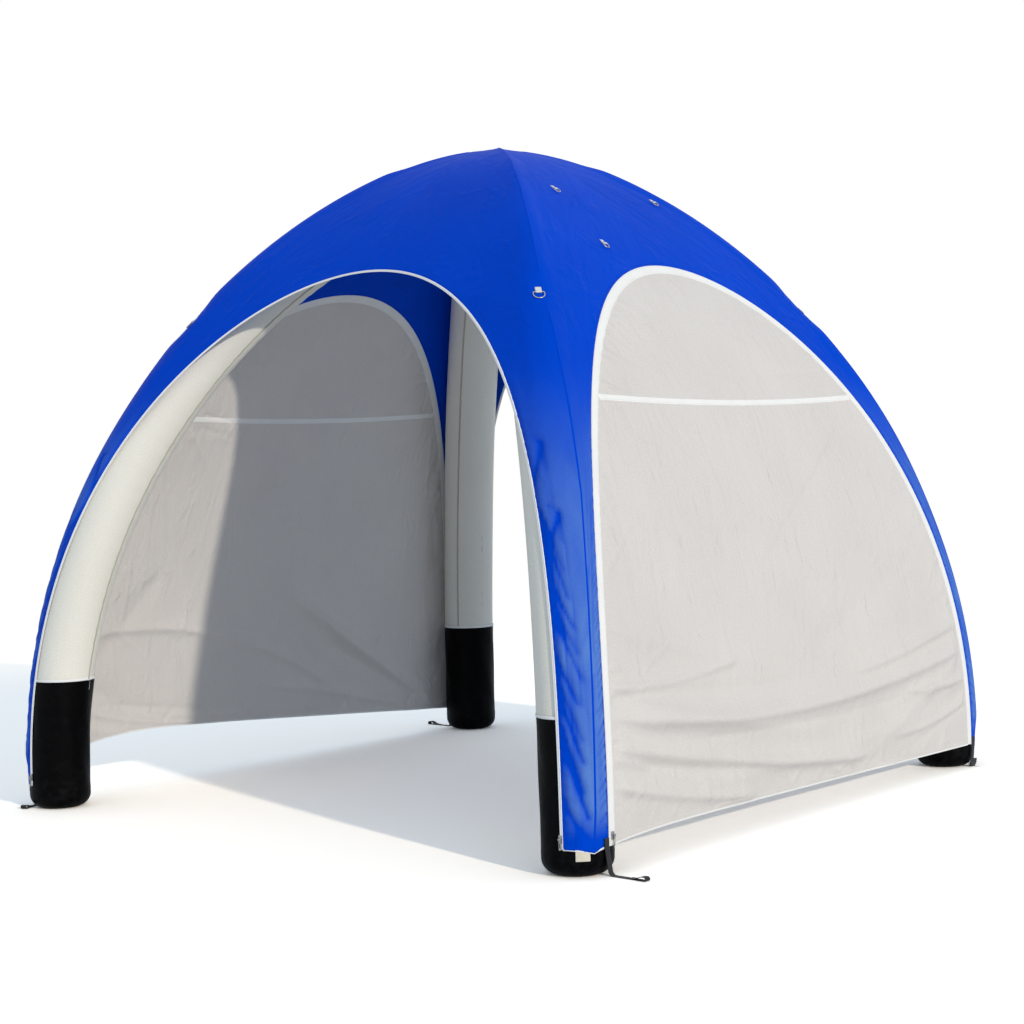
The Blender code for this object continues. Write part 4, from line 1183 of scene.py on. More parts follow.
    def build_hem(self, leg: Leg) -> Object:
        """White piping along a leg strip's bottom, dipping to a point at the ridge seam.

        Args:
            leg: the leg.

        Returns:
            The piping.
        """
        angle = float(FORM.line.angle_at(FORM.hem))
        wrap = float(FORM.wrap(np.array(angle)))
        reach = float(FORM.line.centre(np.array(angle))[0])
        seam = reach + float(WALL.seam_share(angle, True)) * FORM.radius * wrap
        door = reach + (1 - (DOOR.half - reach) / FORM.radius / wrap) * FORM.radius * wrap
        across = np.concatenate([np.linspace(WALL.half, seam, 30), np.linspace(seam, door, 30)[1:]])
        share = np.minimum(
            (across - WALL.half) / (seam - WALL.half), (door - across) / (door - seam)
        )
        dipped = angle - self.hem_dip * share ** 2 / FORM.line.rise
        side = Side.RIGHT if leg.value < 180 else Side.LEFT
        sign = 1 if leg.value % 180 else -1
        path, normal = FORM.place(dipped, sign * across, self.piping_lift)
        points, uv = swept(path, normal, oval(*self.piping_size, 14, 0.8))
        return closed_body(f"strip_hem_{leg.label}", self.piping, turned(points, side.value), uv)


@dataclass(frozen=True)
class WallShape:
    """One wall's numbers: how its hem is drawn up and the folds that pull across it."""

    side: Side
    body: str
    hem_rise: float
    hem_near: float
    folds: Creases
    lines: Creases
    swags: tuple[Swag, ...]


# The solids' own folds, then finer creases: each one's start and end, across and up from the
# ground, its width and its depth, which is negative for a hollow. Last, the folds that hang
# between two held points: three points of each, its depth, and its widths above and below
RIGHT_FOLDS = Creases((
    (-1.31, 0.59, 0.07, 0.37, 0.075, 0.03), (-1.28, 0.37, 0.47, 0.2, 0.06, -0.024),
    (-1.29, 0.84, -0.34, 0.66, 0.068, 0.018), (1.29, 0.51, 0.47, 0.24, 0.068, 0.021),
    (-0.74, 0.26, 1.01, 0.31, 0.052, 0.015), (0.2, 0.72, 1.08, 0.97, 0.09, -0.012),
))
RIGHT_LINES = Creases((
    (-1.27, 0.63, -0.46, 0.63, 0.02, 0.005), (-1.27, 0.59, 0.06, 0.59, 0.018, -0.004),
    (-1.29, 0.44, -0.4, 0.29, 0.022, -0.007), (-1.3, 0.39, -0.67, 0.25, 0.018, 0.006),
    (0.7, 1.48, -0.18, 0.98, 0.016, -0.006), (1.33, 0.63, 0.63, 0.61, 0.015, 0.005),
    (1.33, 0.55, 0.44, 0.48, 0.016, -0.005), (1.31, 0.39, 0.7, 0.4, 0.014, 0.005),
    (1.3, 0.28, 0.8, 0.2, 0.014, -0.004), (-0.95, 1.57, -0.88, 1.39, 0.01, 0.003),
    (-0.82, 1.56, -0.72, 1.37, 0.01, 0.003), (-0.49, 1.59, -0.48, 1.41, 0.011, -0.0025),
    (-0.96, 1.5, -1.01, 1.26, 0.011, 0.003), (-1.08, 0.68, -0.89, 0.78, 0.012, 0.004),
    (-0.72, 0.43, 0.7, 0.41, 0.016, -0.004), (0.21, 0.14, 0.75, 0.16, 0.01, 0.003),
    (-0.71, 1.88, -0.56, 1.78, 0.009, 0.003), (-0.75, 1.82, -0.49, 1.71, 0.009, -0.003),
    (-0.83, 1.66, -0.6, 1.59, 0.01, 0.003), (0.37, 2.01, 0.25, 1.84, 0.01, 0.003),
    (0.56, 1.87, 0.64, 1.78, 0.009, -0.0025), (0.69, 1.77, 0.31, 1.66, 0.011, 0.003),
    (-0.01, 2.14, -0.11, 2.07, 0.009, 0.0025), (0.76, 1.73, -0.02, 1.7, 0.012, -0.0025),
    (0.41, 2.03, 0.21, 1.76, 0.01, 0.003), (-0.6, 1.5, -0.3, 1.2, 0.014, 0.0025),
    (0.1, 1.58, 0.06, 1.32, 0.01, 0.0025), (0.45, 1.58, 0.52, 1.3, 0.011, -0.0025),
    (-1.2, 1.0, -0.85, 1.25, 0.013, 0.003), (1.1, 1.0, 0.85, 1.2, 0.013, -0.003),
))
LEFT_FOLDS = Creases((
    (-0.14, 0.8, -1.25, 0.2, 0.075, -0.03), (-0.47, 0.55, -1.22, 0.14, 0.06, 0.024),
    (1.28, 0.55, 0.41, 0.22, 0.075, 0.027), (1.22, 0.31, 0.14, 0.18, 0.052, -0.018),
    (0.74, 0.92, 1.24, 0.41, 0.075, 0.015),
))
LEFT_LINES = Creases((
    (0.63, 1.63, 0.34, 1.58, 0.012, 0.004), (0.68, 1.54, 0.5, 1.35, 0.012, -0.0045),
    (0.63, 1.57, 0.38, 1.52, 0.012, 0.0035), (0.85, 1.5, 0.72, 1.1, 0.016, -0.004),
    (-0.85, 1.5, -0.85, 1.31, 0.011, 0.003), (-0.94, 1.5, -1.02, 1.2, 0.012, -0.003),
    (0.95, 1.3, 0.6, 0.95, 0.014, 0.0035), (1.2, 0.9, 0.7, 0.55, 0.016, -0.004),
    (-1.1, 1.1, -1.22, 0.7, 0.014, 0.0035), (0.51, 1.82, 0.56, 1.76, 0.009, 0.003),
    (1.0, 0.4, 0.1, 0.32, 0.016, 0.005), (0.6, 0.33, -0.5, 0.27, 0.014, -0.0045),
    (-0.3, 1.58, -0.33, 1.36, 0.011, 0.0025), (0.1, 1.58, 0.12, 1.33, 0.011, -0.0025),
))
RIGHT_SWAGS = (
    Swag(((-1.38, 0.535), (0.05, 0.425), (1.42, 0.56)), 0.04, 0.08, 0.04),
    Swag(((-1.42, 0.455), (-0.59, 0.285), (0.5, 0.17)), 0.036, 0.055, 0.036),
    Swag(((-1.4, 0.315), (-0.97, 0.215), (-0.4, 0.14)), 0.022, 0.04, 0.024),
    Swag(((-1.38, 0.625), (-0.92, 0.61), (-0.45, 0.65)), 0.014, 0.045, 0.017),
    Swag(((0.3, 0.515), (0.86, 0.57), (1.38, 0.68)), 0.018, 0.055, 0.021),
    Swag(((0.75, 0.39), (1.07, 0.385), (1.42, 0.41)), 0.016, 0.034, 0.014),
    Swag(((0.61, 0.225), (1.0, 0.24), (1.42, 0.33)), 0.012, 0.03, 0.013),
)
LEFT_SWAGS = (
    Swag(((-1.36, 0.05), (-0.72, 0.41), (-0.1, 0.78)), -0.024, 0.055, 0.026),
    Swag(((-0.5, 0.27), (0.12, 0.56), (1.15, 0.68)), -0.015, 0.05, 0.022),
    Swag(((-1.3, 0.02), (-0.6, 0.24), (0.1, 0.36)), -0.013, 0.04, 0.018),
    Swag(((0.2, 0.24), (0.8, 0.28), (1.36, 0.44)), -0.012, 0.04, 0.018),
)
WALL_SHAPES = (
    WallShape(Side.RIGHT, "right_wall", 0.03, 0.10, RIGHT_FOLDS, RIGHT_LINES, RIGHT_SWAGS),
    WallShape(Side.LEFT, "left_wall", 0.20, 0.09, LEFT_FOLDS, LEFT_LINES, LEFT_SWAGS),
)


@dataclass(frozen=True)
class Strip:
    """A tape's width, its thickness and how far its middle stands off the cloth's."""

    width: float
    thickness: float
    lift: float = 0.0006


@dataclass
class Wall:
    """A zip-in wall: two widths of pale cloth, a seam tape, a zip band round the arch and a hem."""

    shape: WallShape
    cloth: Material
    tape: Material
    radius: float = 0.1295
    thickness: float = 0.0014
    half: float = 1.3494
    gap: float = 0.0006
    band: Strip = Strip(0.034, 0.0038, 0.0008)
    seam_tape: Strip = Strip(0.022, 0.0036)
    hem_fold: Strip = Strip(0.02, 0.0032)
    piping: Strip = Strip(0.007, 0.0044)
    seam_height: float = 1.598
    seam_rise: float = 0.05
    columns: int = 300
    rows: int = 150
    keep_off: float = 0.127
    sag: float = 0.055
    fold_scale: float = 0.9
    line_scale: float = 1.5
    pucker_height: float = 0.0011

    def __post_init__(self) -> None:
        """Draw the small wrinkles once: short ones that start at the zip, the seam or the hem."""
        rng = np.random.default_rng(self.shape.side.value + 5)
        rows = []
        for _ in range(70):
            height = rng.uniform(0.3, 2.0)
            sign = rng.choice([-1.0, 1.0])
            start = sign * (float(self.half_at(np.array(height))) - rng.uniform(0.02, 0.09))
            length, lean = rng.uniform(0.07, 0.26), rng.uniform(0.15, 1.1)
            end = (start - sign * length * math.cos(lean), height - length * math.sin(lean))
            rows.append((start, height, *end, rng.uniform(0.009, 0.016), rng.uniform(0.003, 0.008)))
        for _ in range(46):
            start = rng.uniform(-1.0, 1.0)
            height = float(self.seam(np.array(start))) + rng.choice([-0.03, -0.03, 0.03])
            length = rng.uniform(0.06, 0.2) * np.sign(height - self.seam_height)
            end = (start + rng.uniform(-0.05, 0.05), height + length)
            rows.append((start, height, *end, rng.uniform(0.009, 0.014), rng.uniform(-0.004, 0.006)))
        for _ in range(26):
            start = rng.uniform(-1.15, 1.15)
            height = float(self.hem(np.array(start))) + 0.03
            end = (start + rng.uniform(-0.12, 0.12), height + rng.uniform(0.03, 0.09))
            rows.append((start, height, *end, rng.uniform(0.009, 0.015), rng.uniform(0.003, 0.007)))
        self.wrinkles = Creases(tuple(rows), 0.75)

    def reach(self, up: Array) -> Array:
        """How far out the cloth is at a height: the beam's line plus the radius along its normal.

        Args:
            up: height over the ground.

        Returns:
            Distance from the tent's middle.
        """
        angle = np.linspace(-0.06, 1.55, 3000)
        reach, height = FORM.line.centre(angle)
        normal_x, normal_z = FORM.line.normal(angle)
        return np.interp(up, height + self.radius * normal_z, reach + self.radius * normal_x)

    def half_at(self, up: Array) -> Array:
        """Half the wall's width at a height, from the arch's formula."""
        share = np.clip((up - FORM.hem) / (FORM.arch_top - FORM.hem), 0.0, 1.0)
        return self.half * np.cos(np.arcsin(share ** (1 / FORM.shoulder)))

    def seam(self, across: Array) -> Array:
        """Height of the seam between the two widths: a shallow parabola."""
        return self.seam_height + self.seam_rise * (across / self.half) ** 2

    def hem(self, across: Array) -> Array:
        """Height of the hem, drawn up fast from its front end and let down slowly to its back end.

        Args:
            across: distance from the wall's middle line.

        Returns:
            Height over the ground.
        """
        ahead = (1 + across / self.half) / 2
        place = np.clip(ahead if self.shape.side is Side.RIGHT else 1 - ahead, 0.0, 1.0)
        drawn_up = (1 - place) * (1 - np.exp(-place / self.shape.hem_near))
        return FORM.hem + self.shape.hem_rise * drawn_up

    def surface(self, across: Array, up: Array, lift: float = 0.0) -> Array:
        """The cloth: its reach plus the folds, which fade towards the zip and the beams.

        Args:
            across: distance from the wall's middle line.
            up: height over the ground.
            lift: how far a tape on the cloth stands off it.

        Returns:
            Points on the +X side.
        """
        edge = np.minimum(self.half_at(up) - np.abs(across), FORM.arch_top - up)
        bowed = up + self.sag * (1 - (across / self.half) ** 2) * smooth((1.2 - up) / 0.6)
        main = self.shape.folds.height(across, bowed) * self.fold_scale
        out = smooth((edge - self.band.width) / 0.16)
        back = smooth((edge - self.keep_off) / 0.16)
        fine = self.line_scale * self.shape.lines.height(across, bowed)
        fine = (fine + self.wrinkles.height(across, up)) * smooth((edge - self.band.width) / 0.03)
        hung = sum(swag.height(across, up) for swag in self.shape.swags)
        raised, sunk = smooth((edge - self.band.width) / 0.06), smooth((edge - self.keep_off) / 0.1)
        fine = fine + hung * np.where(hung > 0, raised, sunk)
        puckers = np.sin(up * 150 + 3 * np.sin(up * 5.1)) * np.exp(-(((edge - 0.05) / 0.02) ** 2))
        offset = np.where(main > 0, main * out, main * back) + fine + self.pucker_height * puckers
        return joined(self.reach(up) + offset + lift, across, up)

    def cloth_piece(self, kind: str, across: Array, up: Array) -> Object:
        """One width of cloth.

        Args:
            kind: lower or upper, for its name.
            across: its grid's distances from the wall's middle line.
            up: its grid's heights.

        Returns:
            The cloth.
        """
        name = f"wall_cloth_{kind}_{self.shape.side.label}"
        points = turned(self.surface(across, up), self.shape.side.value)
        return thin_piece(name, self.cloth, points, joined(across, up), self.thickness, CENTRE)

    def build_lower(self) -> Object:
        """Rows run straight up from the hem to the seam; each is as wide as the arch there.

        Returns:
            The lower width of cloth.
        """
        share = np.linspace(-1.0, 1.0, self.columns)[None, :]
        row = np.linspace(0.0, 1.0, self.rows)[:, None]
        low, high = self.hem(share * self.half), self.seam(share * self.seam_half())
        up = low + (high - low) * row
        return self.cloth_piece("lower", share * self.half_at(up), up)

    def seam_half(self) -> float:
        """Where the seam meets the arch."""
        across = np.linspace(0.0, self.half, 4000)
        return float(across[np.argmin(np.abs(self.half_at(self.seam(across)) - across))])

    def arch_height(self, across: Array) -> Array:
        """Height of the arch over a place across the wall: the arch's formula, solved for height."""
        turn = np.arccos(np.clip(np.abs(across) / self.half, 0.0, 1.0))
        return FORM.hem + (FORM.arch_top - FORM.hem - self.gap) * np.sin(turn) ** FORM.shoulder

    def build_upper(self) -> Object:
        """Columns stand on the seam, closer together at its ends, and end at the arch.

        Returns:
            The upper width of cloth.
        """
        turn = np.linspace(-math.pi / 2, math.pi / 2, self.columns)[None, :]
        across = self.seam_half() * np.sin(turn)
        row = np.linspace(0.0, 1.0, self.rows // 2)[:, None]
        low, high = self.seam(across), self.arch_height(across)
        up = low + (np.maximum(high, low) - low) * row
        return self.cloth_piece("upper", across, up)

    def ribbon(
        self, kind: str, across: Array, up: Array, strip: Strip, material: Material,
    ) -> Object:
        """A tape that follows the cloth, with its own width and length as UV.

        Args:
            kind: what it is, for its name.
            across: its grid's distances from the wall's middle line, with its length along the rows.
            up: its grid's heights.
            strip: its sizes.
            material: its finish.

        Returns:
            The tape.
        """
        points = turned(self.surface(across, up, strip.lift), self.shape.side.value)
        along = arc_length(points[len(points) // 2])
        uv = joined(np.linspace(0, strip.width, len(points))[:, None], along)
        name = f"wall_{kind}_{self.shape.side.label}"
        item = thin_piece(name, material, points, uv, strip.thickness, CENTRE)
        soften = item.modifiers.new("soft edges", "BEVEL")
        soften.width = strip.thickness * 0.3
        soften.segments = 2
        soften.limit_method = "ANGLE"
        return item

    def build_band(self) -> Object:
        """The zip band: from the arch's edge in by the band's width, on both faces of the cloth.

        Returns:
            The band.
        """
        turn = np.linspace(0.0, math.pi, 420)[None, :]
        inset = np.linspace(self.gap, self.band.width, 9)[:, None]
        across, up = FORM.opening(WALL.half, np.minimum(turn, math.pi - turn), inset)
        across = np.where(turn > math.pi / 2, -across, across)
        return self.ribbon("zip_band", across, up, self.band, self.tape)

    def build_level(
        self, kind: str, line: Callable[[Array], Array], low: float, strip: Strip, end: float,
        rows: int, material: Material,
    ) -> Object:
        """A tape along the seam or the hem, from one zip band to the other.

        Args:
            kind: what it is, for its name.
            line: the height that it follows, by distance across.
            low: its lower edge's height over that line.
            strip: its sizes.
            end: how far across it ends.
            rows: its rows of points.
            material: its finish.

        Returns:
            The tape.
        """
        across = np.linspace(-end, end, 260)[None, :]
        up = line(across) + np.linspace(low, low + strip.width, rows)[:, None]
        return self.ribbon(kind, across, up, strip, material)

    def build(self) -> None:
        side = self.shape.side.label
        lower, upper, band = self.build_lower(), self.build_upper(), self.build_band()
        seam_end = self.seam_half() - self.band.width * 1.25
        hem_end = self.half - self.band.width - 0.0005
        tape = self.build_level(
            "seam_tape", self.seam, -0.011, self.seam_tape, seam_end, 7, self.tape
        )
        hem = self.build_level("hem", self.hem, -0.001, self.hem_fold, hem_end, 5, self.cloth)
        for item, node, slot in (
            (lower, "lower", "wall_cloth"), (upper, "upper", "wall_cloth"),
            (band, "edge_band", "white_tape"), (tape, "seam_tape", "white_tape"),
            (hem, "hem", "white_tape"),
        ):
            settle(item, self.shape.body, slot, f"wall_{side}_{node}")
        piping = self.build_level("piping", self.hem, -0.0025, self.piping, hem_end, 4, self.tape)
        settle(piping, self.shape.body, "white_tape")


def settle(item: Object, body: str, slot: str, *nodes: str) -> Object:
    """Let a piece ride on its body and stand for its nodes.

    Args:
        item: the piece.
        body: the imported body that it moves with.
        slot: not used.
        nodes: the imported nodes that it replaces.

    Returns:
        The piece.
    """
    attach(item, body)
    if nodes:
        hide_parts(*nodes)
    LOG.info("%s: %d faces on %s", item.name, len(item.data.polygons), body)
    return item


# Air beams, feet and what is fixed to them


@dataclass
class AirBeams:
    """Four inflated sleeves from the feet to the crown, with a sewn seam along each."""

    cloth: Material
    seam_cloth: Material
    valve: Dent
    radius: float = 0.125
    inset: float = 0.0022
    low: float = 0.49
    rows: int = 190
    steps: int = 56
    seam_turn: float = 2.6
    seam_height: float = 0.0012
    seam_reach: float = 0.016
    wave_height: float = 0.0009
    gather_height: float = 0.0007
    slack_height: float = 0.0010
    seam_size: tuple[float, float] = (0.009, 0.0036)

    def sleeve(self, leg: Leg) -> tuple[Array, Array]:
        """A tube round the beam's line in its own upright plane.

        The circle's out direction is the line's normal and its side direction is level. The
        radius has a narrow bell for the seam, short waves on the inner side where the cloth is
        squeezed by the bend, gathers above the sock and a slow unevenness.

        Args:
            leg: the leg, which sets where the waves fall.

        Returns:
            The tube's points, for the front right leg, and their UV.
        """
        first = float(FORM.line.angle_at(self.low))
        angle = np.linspace(first, math.pi / 2, self.rows)
        turn = np.linspace(0, 2 * np.pi, self.steps + 1)
        reach, height = FORM.line.centre(angle)
        normal_x, normal_z = FORM.line.normal(angle, math.sqrt(2))
        middle = np.stack([reach, -reach, height], -1)
        out = np.stack([normal_x * DIAGONAL, -normal_x * DIAGONAL, normal_z], -1)
        along = arc_length(middle)[:, None]
        away = np.angle(np.exp(1j * (turn - self.seam_turn)))[None, :]
        seam = self.seam_height * np.exp(-((away * self.radius / self.seam_reach) ** 2))
        squeezed = smooth(-np.cos(turn) * 1.6)[None, :]
        waves = self.wave_height * np.sin(along * 95 + 4 * np.sin(along * 3.1) + leg.value)
        waves = waves * squeezed * smooth(along / 0.1)
        gathers = self.gather_height * np.sin(turn * 22) * np.exp(-(((along - 0.06) / 0.05) ** 2))
        slack = self.slack_height * np.sin(turn * 3 + along * 5 + leg.value)
        radius = (self.radius - self.inset) + seam + waves + gathers + slack
        ring = np.cos(turn)[None, :, None] * out[:, None] + np.sin(turn)[None, :, None] * SIDEWAYS
        return middle[:, None] + radius[..., None] * ring, joined(turn * self.radius, along)

    def build(self) -> None:
        """One closed sleeve for each leg, with its seam."""
        for leg in Leg:
            points, uv = self.sleeve(leg)
            if leg is Leg.FRONT_RIGHT:
                points = self.valve.apply(points)
            tube = closed_body(f"beam_sleeve_{leg.label}", self.cloth, turned(points, leg.value), uv)
            settle(tube, "tent", "sleeve_cloth", f"leg_sleeve_{leg.label}")
            kept = points[3:-6]
            line = kept[:, round(self.seam_turn / (2 * np.pi) * self.steps)]
            out = unit(line - kept[:, :-1].mean(axis=1))
            line, out = turned(line, leg.value), turned(out, leg.value)
            rib = swept(line, out, oval(*self.seam_size, 10, 0.8))
            seam = closed_body(f"beam_seam_{leg.label}", self.seam_cloth, *rib)
            settle(seam, "tent", "sleeve_cloth")


@dataclass
class Feet:
    """Black vinyl socks on the legs, with a rounded bottom, welded seams and a pale bound rim."""

    vinyl: Material
    rim: Material
    radius: float = 0.1260
    top: float = 0.54
    rounding: float = 0.055
    bottom: float = 0.0002
    inset: float = 0.0007
    weld_height: float = 0.075
    lap_turn: float = 2.6
    thickness: float = 0.0011
    rim_size: tuple[float, float] = (0.011, 0.0022)
    rim_drop: float = 0.004
    steps: int = 72

    def ring_points(self, height: Array, radius: Array) -> Array:
        """Level rings round the leaning leg: the line's point at each height plus the radius.

        Args:
            height: each ring's height.
            radius: the radius, a row for each ring.

        Returns:
            The rings' points, for the front right leg.
        """
        turn = np.linspace(0, 2 * np.pi, self.steps + 1)
        angle = FORM.line.angle_at(height)
        reach, _ = FORM.line.centre(angle)
        normal_x, _ = FORM.line.normal(angle, math.sqrt(2))
        middle = np.stack([reach, -reach, height], -1)
        along_out = (radius / normal_x[:, None] * np.cos(turn))[..., None] * OUTWARD
        along_side = (radius * np.sin(turn))[..., None] * SIDEWAYS
        return middle[:, None] + along_out + along_side

    def sock(self) -> tuple[Array, Array]:
        """A flat bottom, a quarter circle and the upright side, with soft dents, a weld and a lap.

        Returns:
            The sock's points, for the front right leg, and their UV.
        """
        flat = np.linspace(0.0, self.radius - self.rounding, 12)[:-1]
        bend = np.linspace(0, math.pi / 2, 16)
        high = np.linspace(self.bottom + self.rounding, self.top, 70)[1:]
        rise, fall = self.rounding * (1 - np.cos(bend)), self.rounding * (1 - np.sin(bend))
        height = np.concatenate([0 * flat + self.bottom, self.bottom + rise, high])
        radius = np.concatenate([flat, self.radius - fall, 0 * high + self.radius])
        turn = np.linspace(0, 2 * np.pi, self.steps + 1)
        up = height[:, None]
        sag = 0.0012 * np.sin(turn * 5 + 1.3) * np.exp(-(((up - 0.1) / 0.07) ** 2))
        weld = 0.0009 * np.exp(-(((up - self.weld_height) / 0.006) ** 2))
        away = np.angle(np.exp(1j * (turn - self.lap_turn)))
        lap = 0.0008 * smooth((0.09 - np.abs(away)) / 0.03) * smooth((up - 0.06) / 0.02)
        dents = 0.0009 * np.sin(turn * 7 + up * 21) * smooth((up - 0.05) / 0.1)
        swell = (sag + weld + lap + dents - self.inset) * smooth(radius / self.radius)[:, None]
        points = self.ring_points(height, radius[:, None] + swell)
        points[0] = points[0].mean(axis=0)
        return points, joined(turn * self.radius, up)

    def rim_ring(self) -> tuple[Array, Array]:
        """A bound edge: a rounded strip carried level round the top of the sock.

        Returns:
            The rim's points, for the front right leg, and their UV.
        """
        height = np.full(1, self.top - self.rim_drop)
        circle = self.ring_points(height, np.full((1, 1), self.radius - 0.0002))[0]
        out = unit(circle - circle[:-1].mean(axis=0))
        closed, normals = (np.concatenate([part[-3:-1], part, part[1:3]]) for part in (circle, out))
        points, uv = swept(closed, normals, oval(*self.rim_size, 12, 0.7))
        return points[2:-2], uv[2:-2]

    def build(self) -> None:
        """A sock and its rim for each leg."""
        for leg in Leg:
            skin = Skin()
            points, uv = self.sock()
            skin.grid(turned(points, leg.value), uv)
            sock = skin.build(f"foot_sock_{leg.label}", self.vinyl, closed=True)
            thicken(sock, self.thickness, -1.0)
            settle(sock, "tent", "foot_vinyl", f"foot_cover_{leg.label}")
            edge = Skin()
            points, uv = self.rim_ring()
            edge.grid(turned(points, leg.value), uv)
            rim = edge.build(f"foot_rim_{leg.label}", self.rim, closed=True)
            settle(rim, "tent", "white_tape")


@dataclass
class FootPatch:
    """A square of loop pile sewn to the front right foot, bent to it."""

    pile: Material
    width: float = 0.05
    low: float = 0.060
    high: float = 0.110
    radius: float = 0.1278
    thickness: float = 0.0016

    def build(self) -> Object:
        """A grid on the cylinder round the leg's line: turn by width over radius, height by row.

        Returns:
            The patch.
        """
        turn = np.linspace(-0.5, 0.5, 28)[None, :] * self.width / self.radius - math.pi / 4
        height = np.linspace(self.low, self.high, 24)[:, None]
        radius = self.radius + 0.0004 * np.sin(turn * 260) * np.sin(height * 900)
        half = FORM.line.half_spacing
        points = joined(half + radius * np.cos(turn), radius * np.sin(turn) - half, height)
        uv, inside = joined(turn * self.radius, height), np.array([half, -half, 0.08])
        item = thin_piece("foot_patch_pile", self.pile, points, uv, self.thickness, inside)
        return settle(item, "tent", "loop_patch", "foot_patch")


@dataclass(frozen=True)
class Place:
    """A fitting's frame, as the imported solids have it: its origin and where its X and Z point."""

    origin: tuple[float, float, float]
    x_axis: tuple[float, float, float]
    z_axis: tuple[float, float, float]

    def put(self, points: Array) -> Array:
        """Move points from the fitting's own frame to the tent's."""
        along, out = unit(np.array(self.x_axis)), unit(np.array(self.z_axis))
        return np.array(self.origin) + points @ np.stack([along, np.cross(out, along), out])

    def turn(self, degrees: float) -> "Place":
        """The frame turned about the tent's Z."""
        parts = (self.origin, self.x_axis, self.z_axis)
        return Place(*(tuple(turned(np.array(part), degrees)) for part in parts))


RIDGE_PLACE = Place(
    (0.92065, -0.92065, 2.01308), (0.50672, -0.50672, -0.69747), (0.49319, -0.49319, 0.71661),
)
ROOF_PLACES = {
    "back": Place((0.53827, 0.39574, 2.47303), (0.75979, 0, -0.65017), (0.65017, 0, 0.75979)),
    "front_high": Place((0.53191, -0.28617, 2.47847), (0.75979, 0, -0.65017), (0.65017, 0, 0.75979)),
    "front_low": Place((0.77786, -0.30222, 2.23874), (0.67403, 0, -0.7387), (0.7387, 0, 0.67403)),
}
VALVE_PLACE = Place(
    (1.20643, -1.20643, 0.78), (0.15195, -0.15195, -0.97664), (-0.69059, 0.69059, -0.21489),
)


@dataclass
class TieRing:
    """A bent wire D ring in a sewn webbing tab."""

    name: str
    place: Place
    steel: Material
    webbing: Material
    width: float = 0.042
    depth: float = 0.034
    tab_width: float = 0.024
    tab_length: float = 0.032
    wire: float = 0.002
    corner: float = 0.005
    tab_thickness: float = 0.0016
    tab_gap: float = 0.0004

    def ring_line(self) -> Array:
        """Middle line of the wire: a straight bar along Y, two small corners and a half round bow.

        Returns:
            Points in the fitting's frame, not repeated at the end.
        """
        half = self.width / 2
        turn = np.linspace(0, np.pi, 33)
        bow = np.stack([self.depth - half + half * np.sin(turn), half * np.cos(turn)], -1)
        bend = np.linspace(-np.pi / 2, 0, 9)[1:-1]
        corner = self.corner * np.stack([np.sin(bend), np.cos(bend)], -1)
        first = np.array([self.corner, half - self.corner]) + corner
        bar = joined(0.0, np.linspace(half - self.corner, self.corner - half, 9))
        second = np.flip(first, 0) * np.array([1, -1])
        line = np.concatenate([bow, second, np.flip(bar, 0), first])
        return np.concatenate([line, np.zeros((len(line), 1))], -1)

    def build_ring(self) -> Object:
        """A round wire carried along the closed line.

        Returns:
            The ring.
        """
        line = self.ring_line()
        line = np.concatenate([line[-2:], line, line[:3]])
        normals = np.broadcast_to(np.array([0.0, 0.0, 1.0]), line.shape)
        points, uv = swept(line, normals, oval(2 * self.wire, 2 * self.wire, 16))
        skin = Skin()
        skin.grid(self.place.put(points[2:-2]), uv[2:-2])
        return skin.build(f"tie_ring_{self.name}", self.steel, closed=True)

    def build_tab(self) -> Object:
        """Webbing folded round the ring's bar: a flat tail, a turn round the bar and a flat return.

        Returns:
            The tab.
        """
        bore = self.wire + self.tab_gap + self.tab_thickness / 2
        turn = np.linspace(-np.pi / 2, np.pi / 2, 15)
        round_bar = np.stack([bore * np.cos(turn), bore * np.sin(turn)], -1)
        tail = joined(np.linspace(-self.tab_length, -0.001, 14), -bore)
        back = np.linspace(0.0, 1.0, 14)[1:]
        drop = bore - (2 * bore - self.tab_thickness * 1.05) * smooth(back * 2.2)
        upper = np.stack([-back * (self.tab_length - 0.003), drop], -1)
        line = np.concatenate([tail, round_bar, upper])
        across = np.linspace(-0.5, 0.5, 9)[None, :] * self.tab_width
        points = self.place.put(joined(line[:, :1], across, line[:, 1:]))
        uv = joined(across + self.tab_width / 2, arc_length(line)[:, None])
        return thin_piece(
            f"ring_tab_{self.name}", self.webbing, points, uv, self.tab_thickness * 0.9
        )

    def build(self, ring_node: str, tab_node: str, body: str) -> None:
        """The ring rides on its own body and the tab on the tent."""
        settle(self.build_ring(), body, "plated_steel", ring_node)
        settle(self.build_tab(), "tent", "white_tape", tab_node)


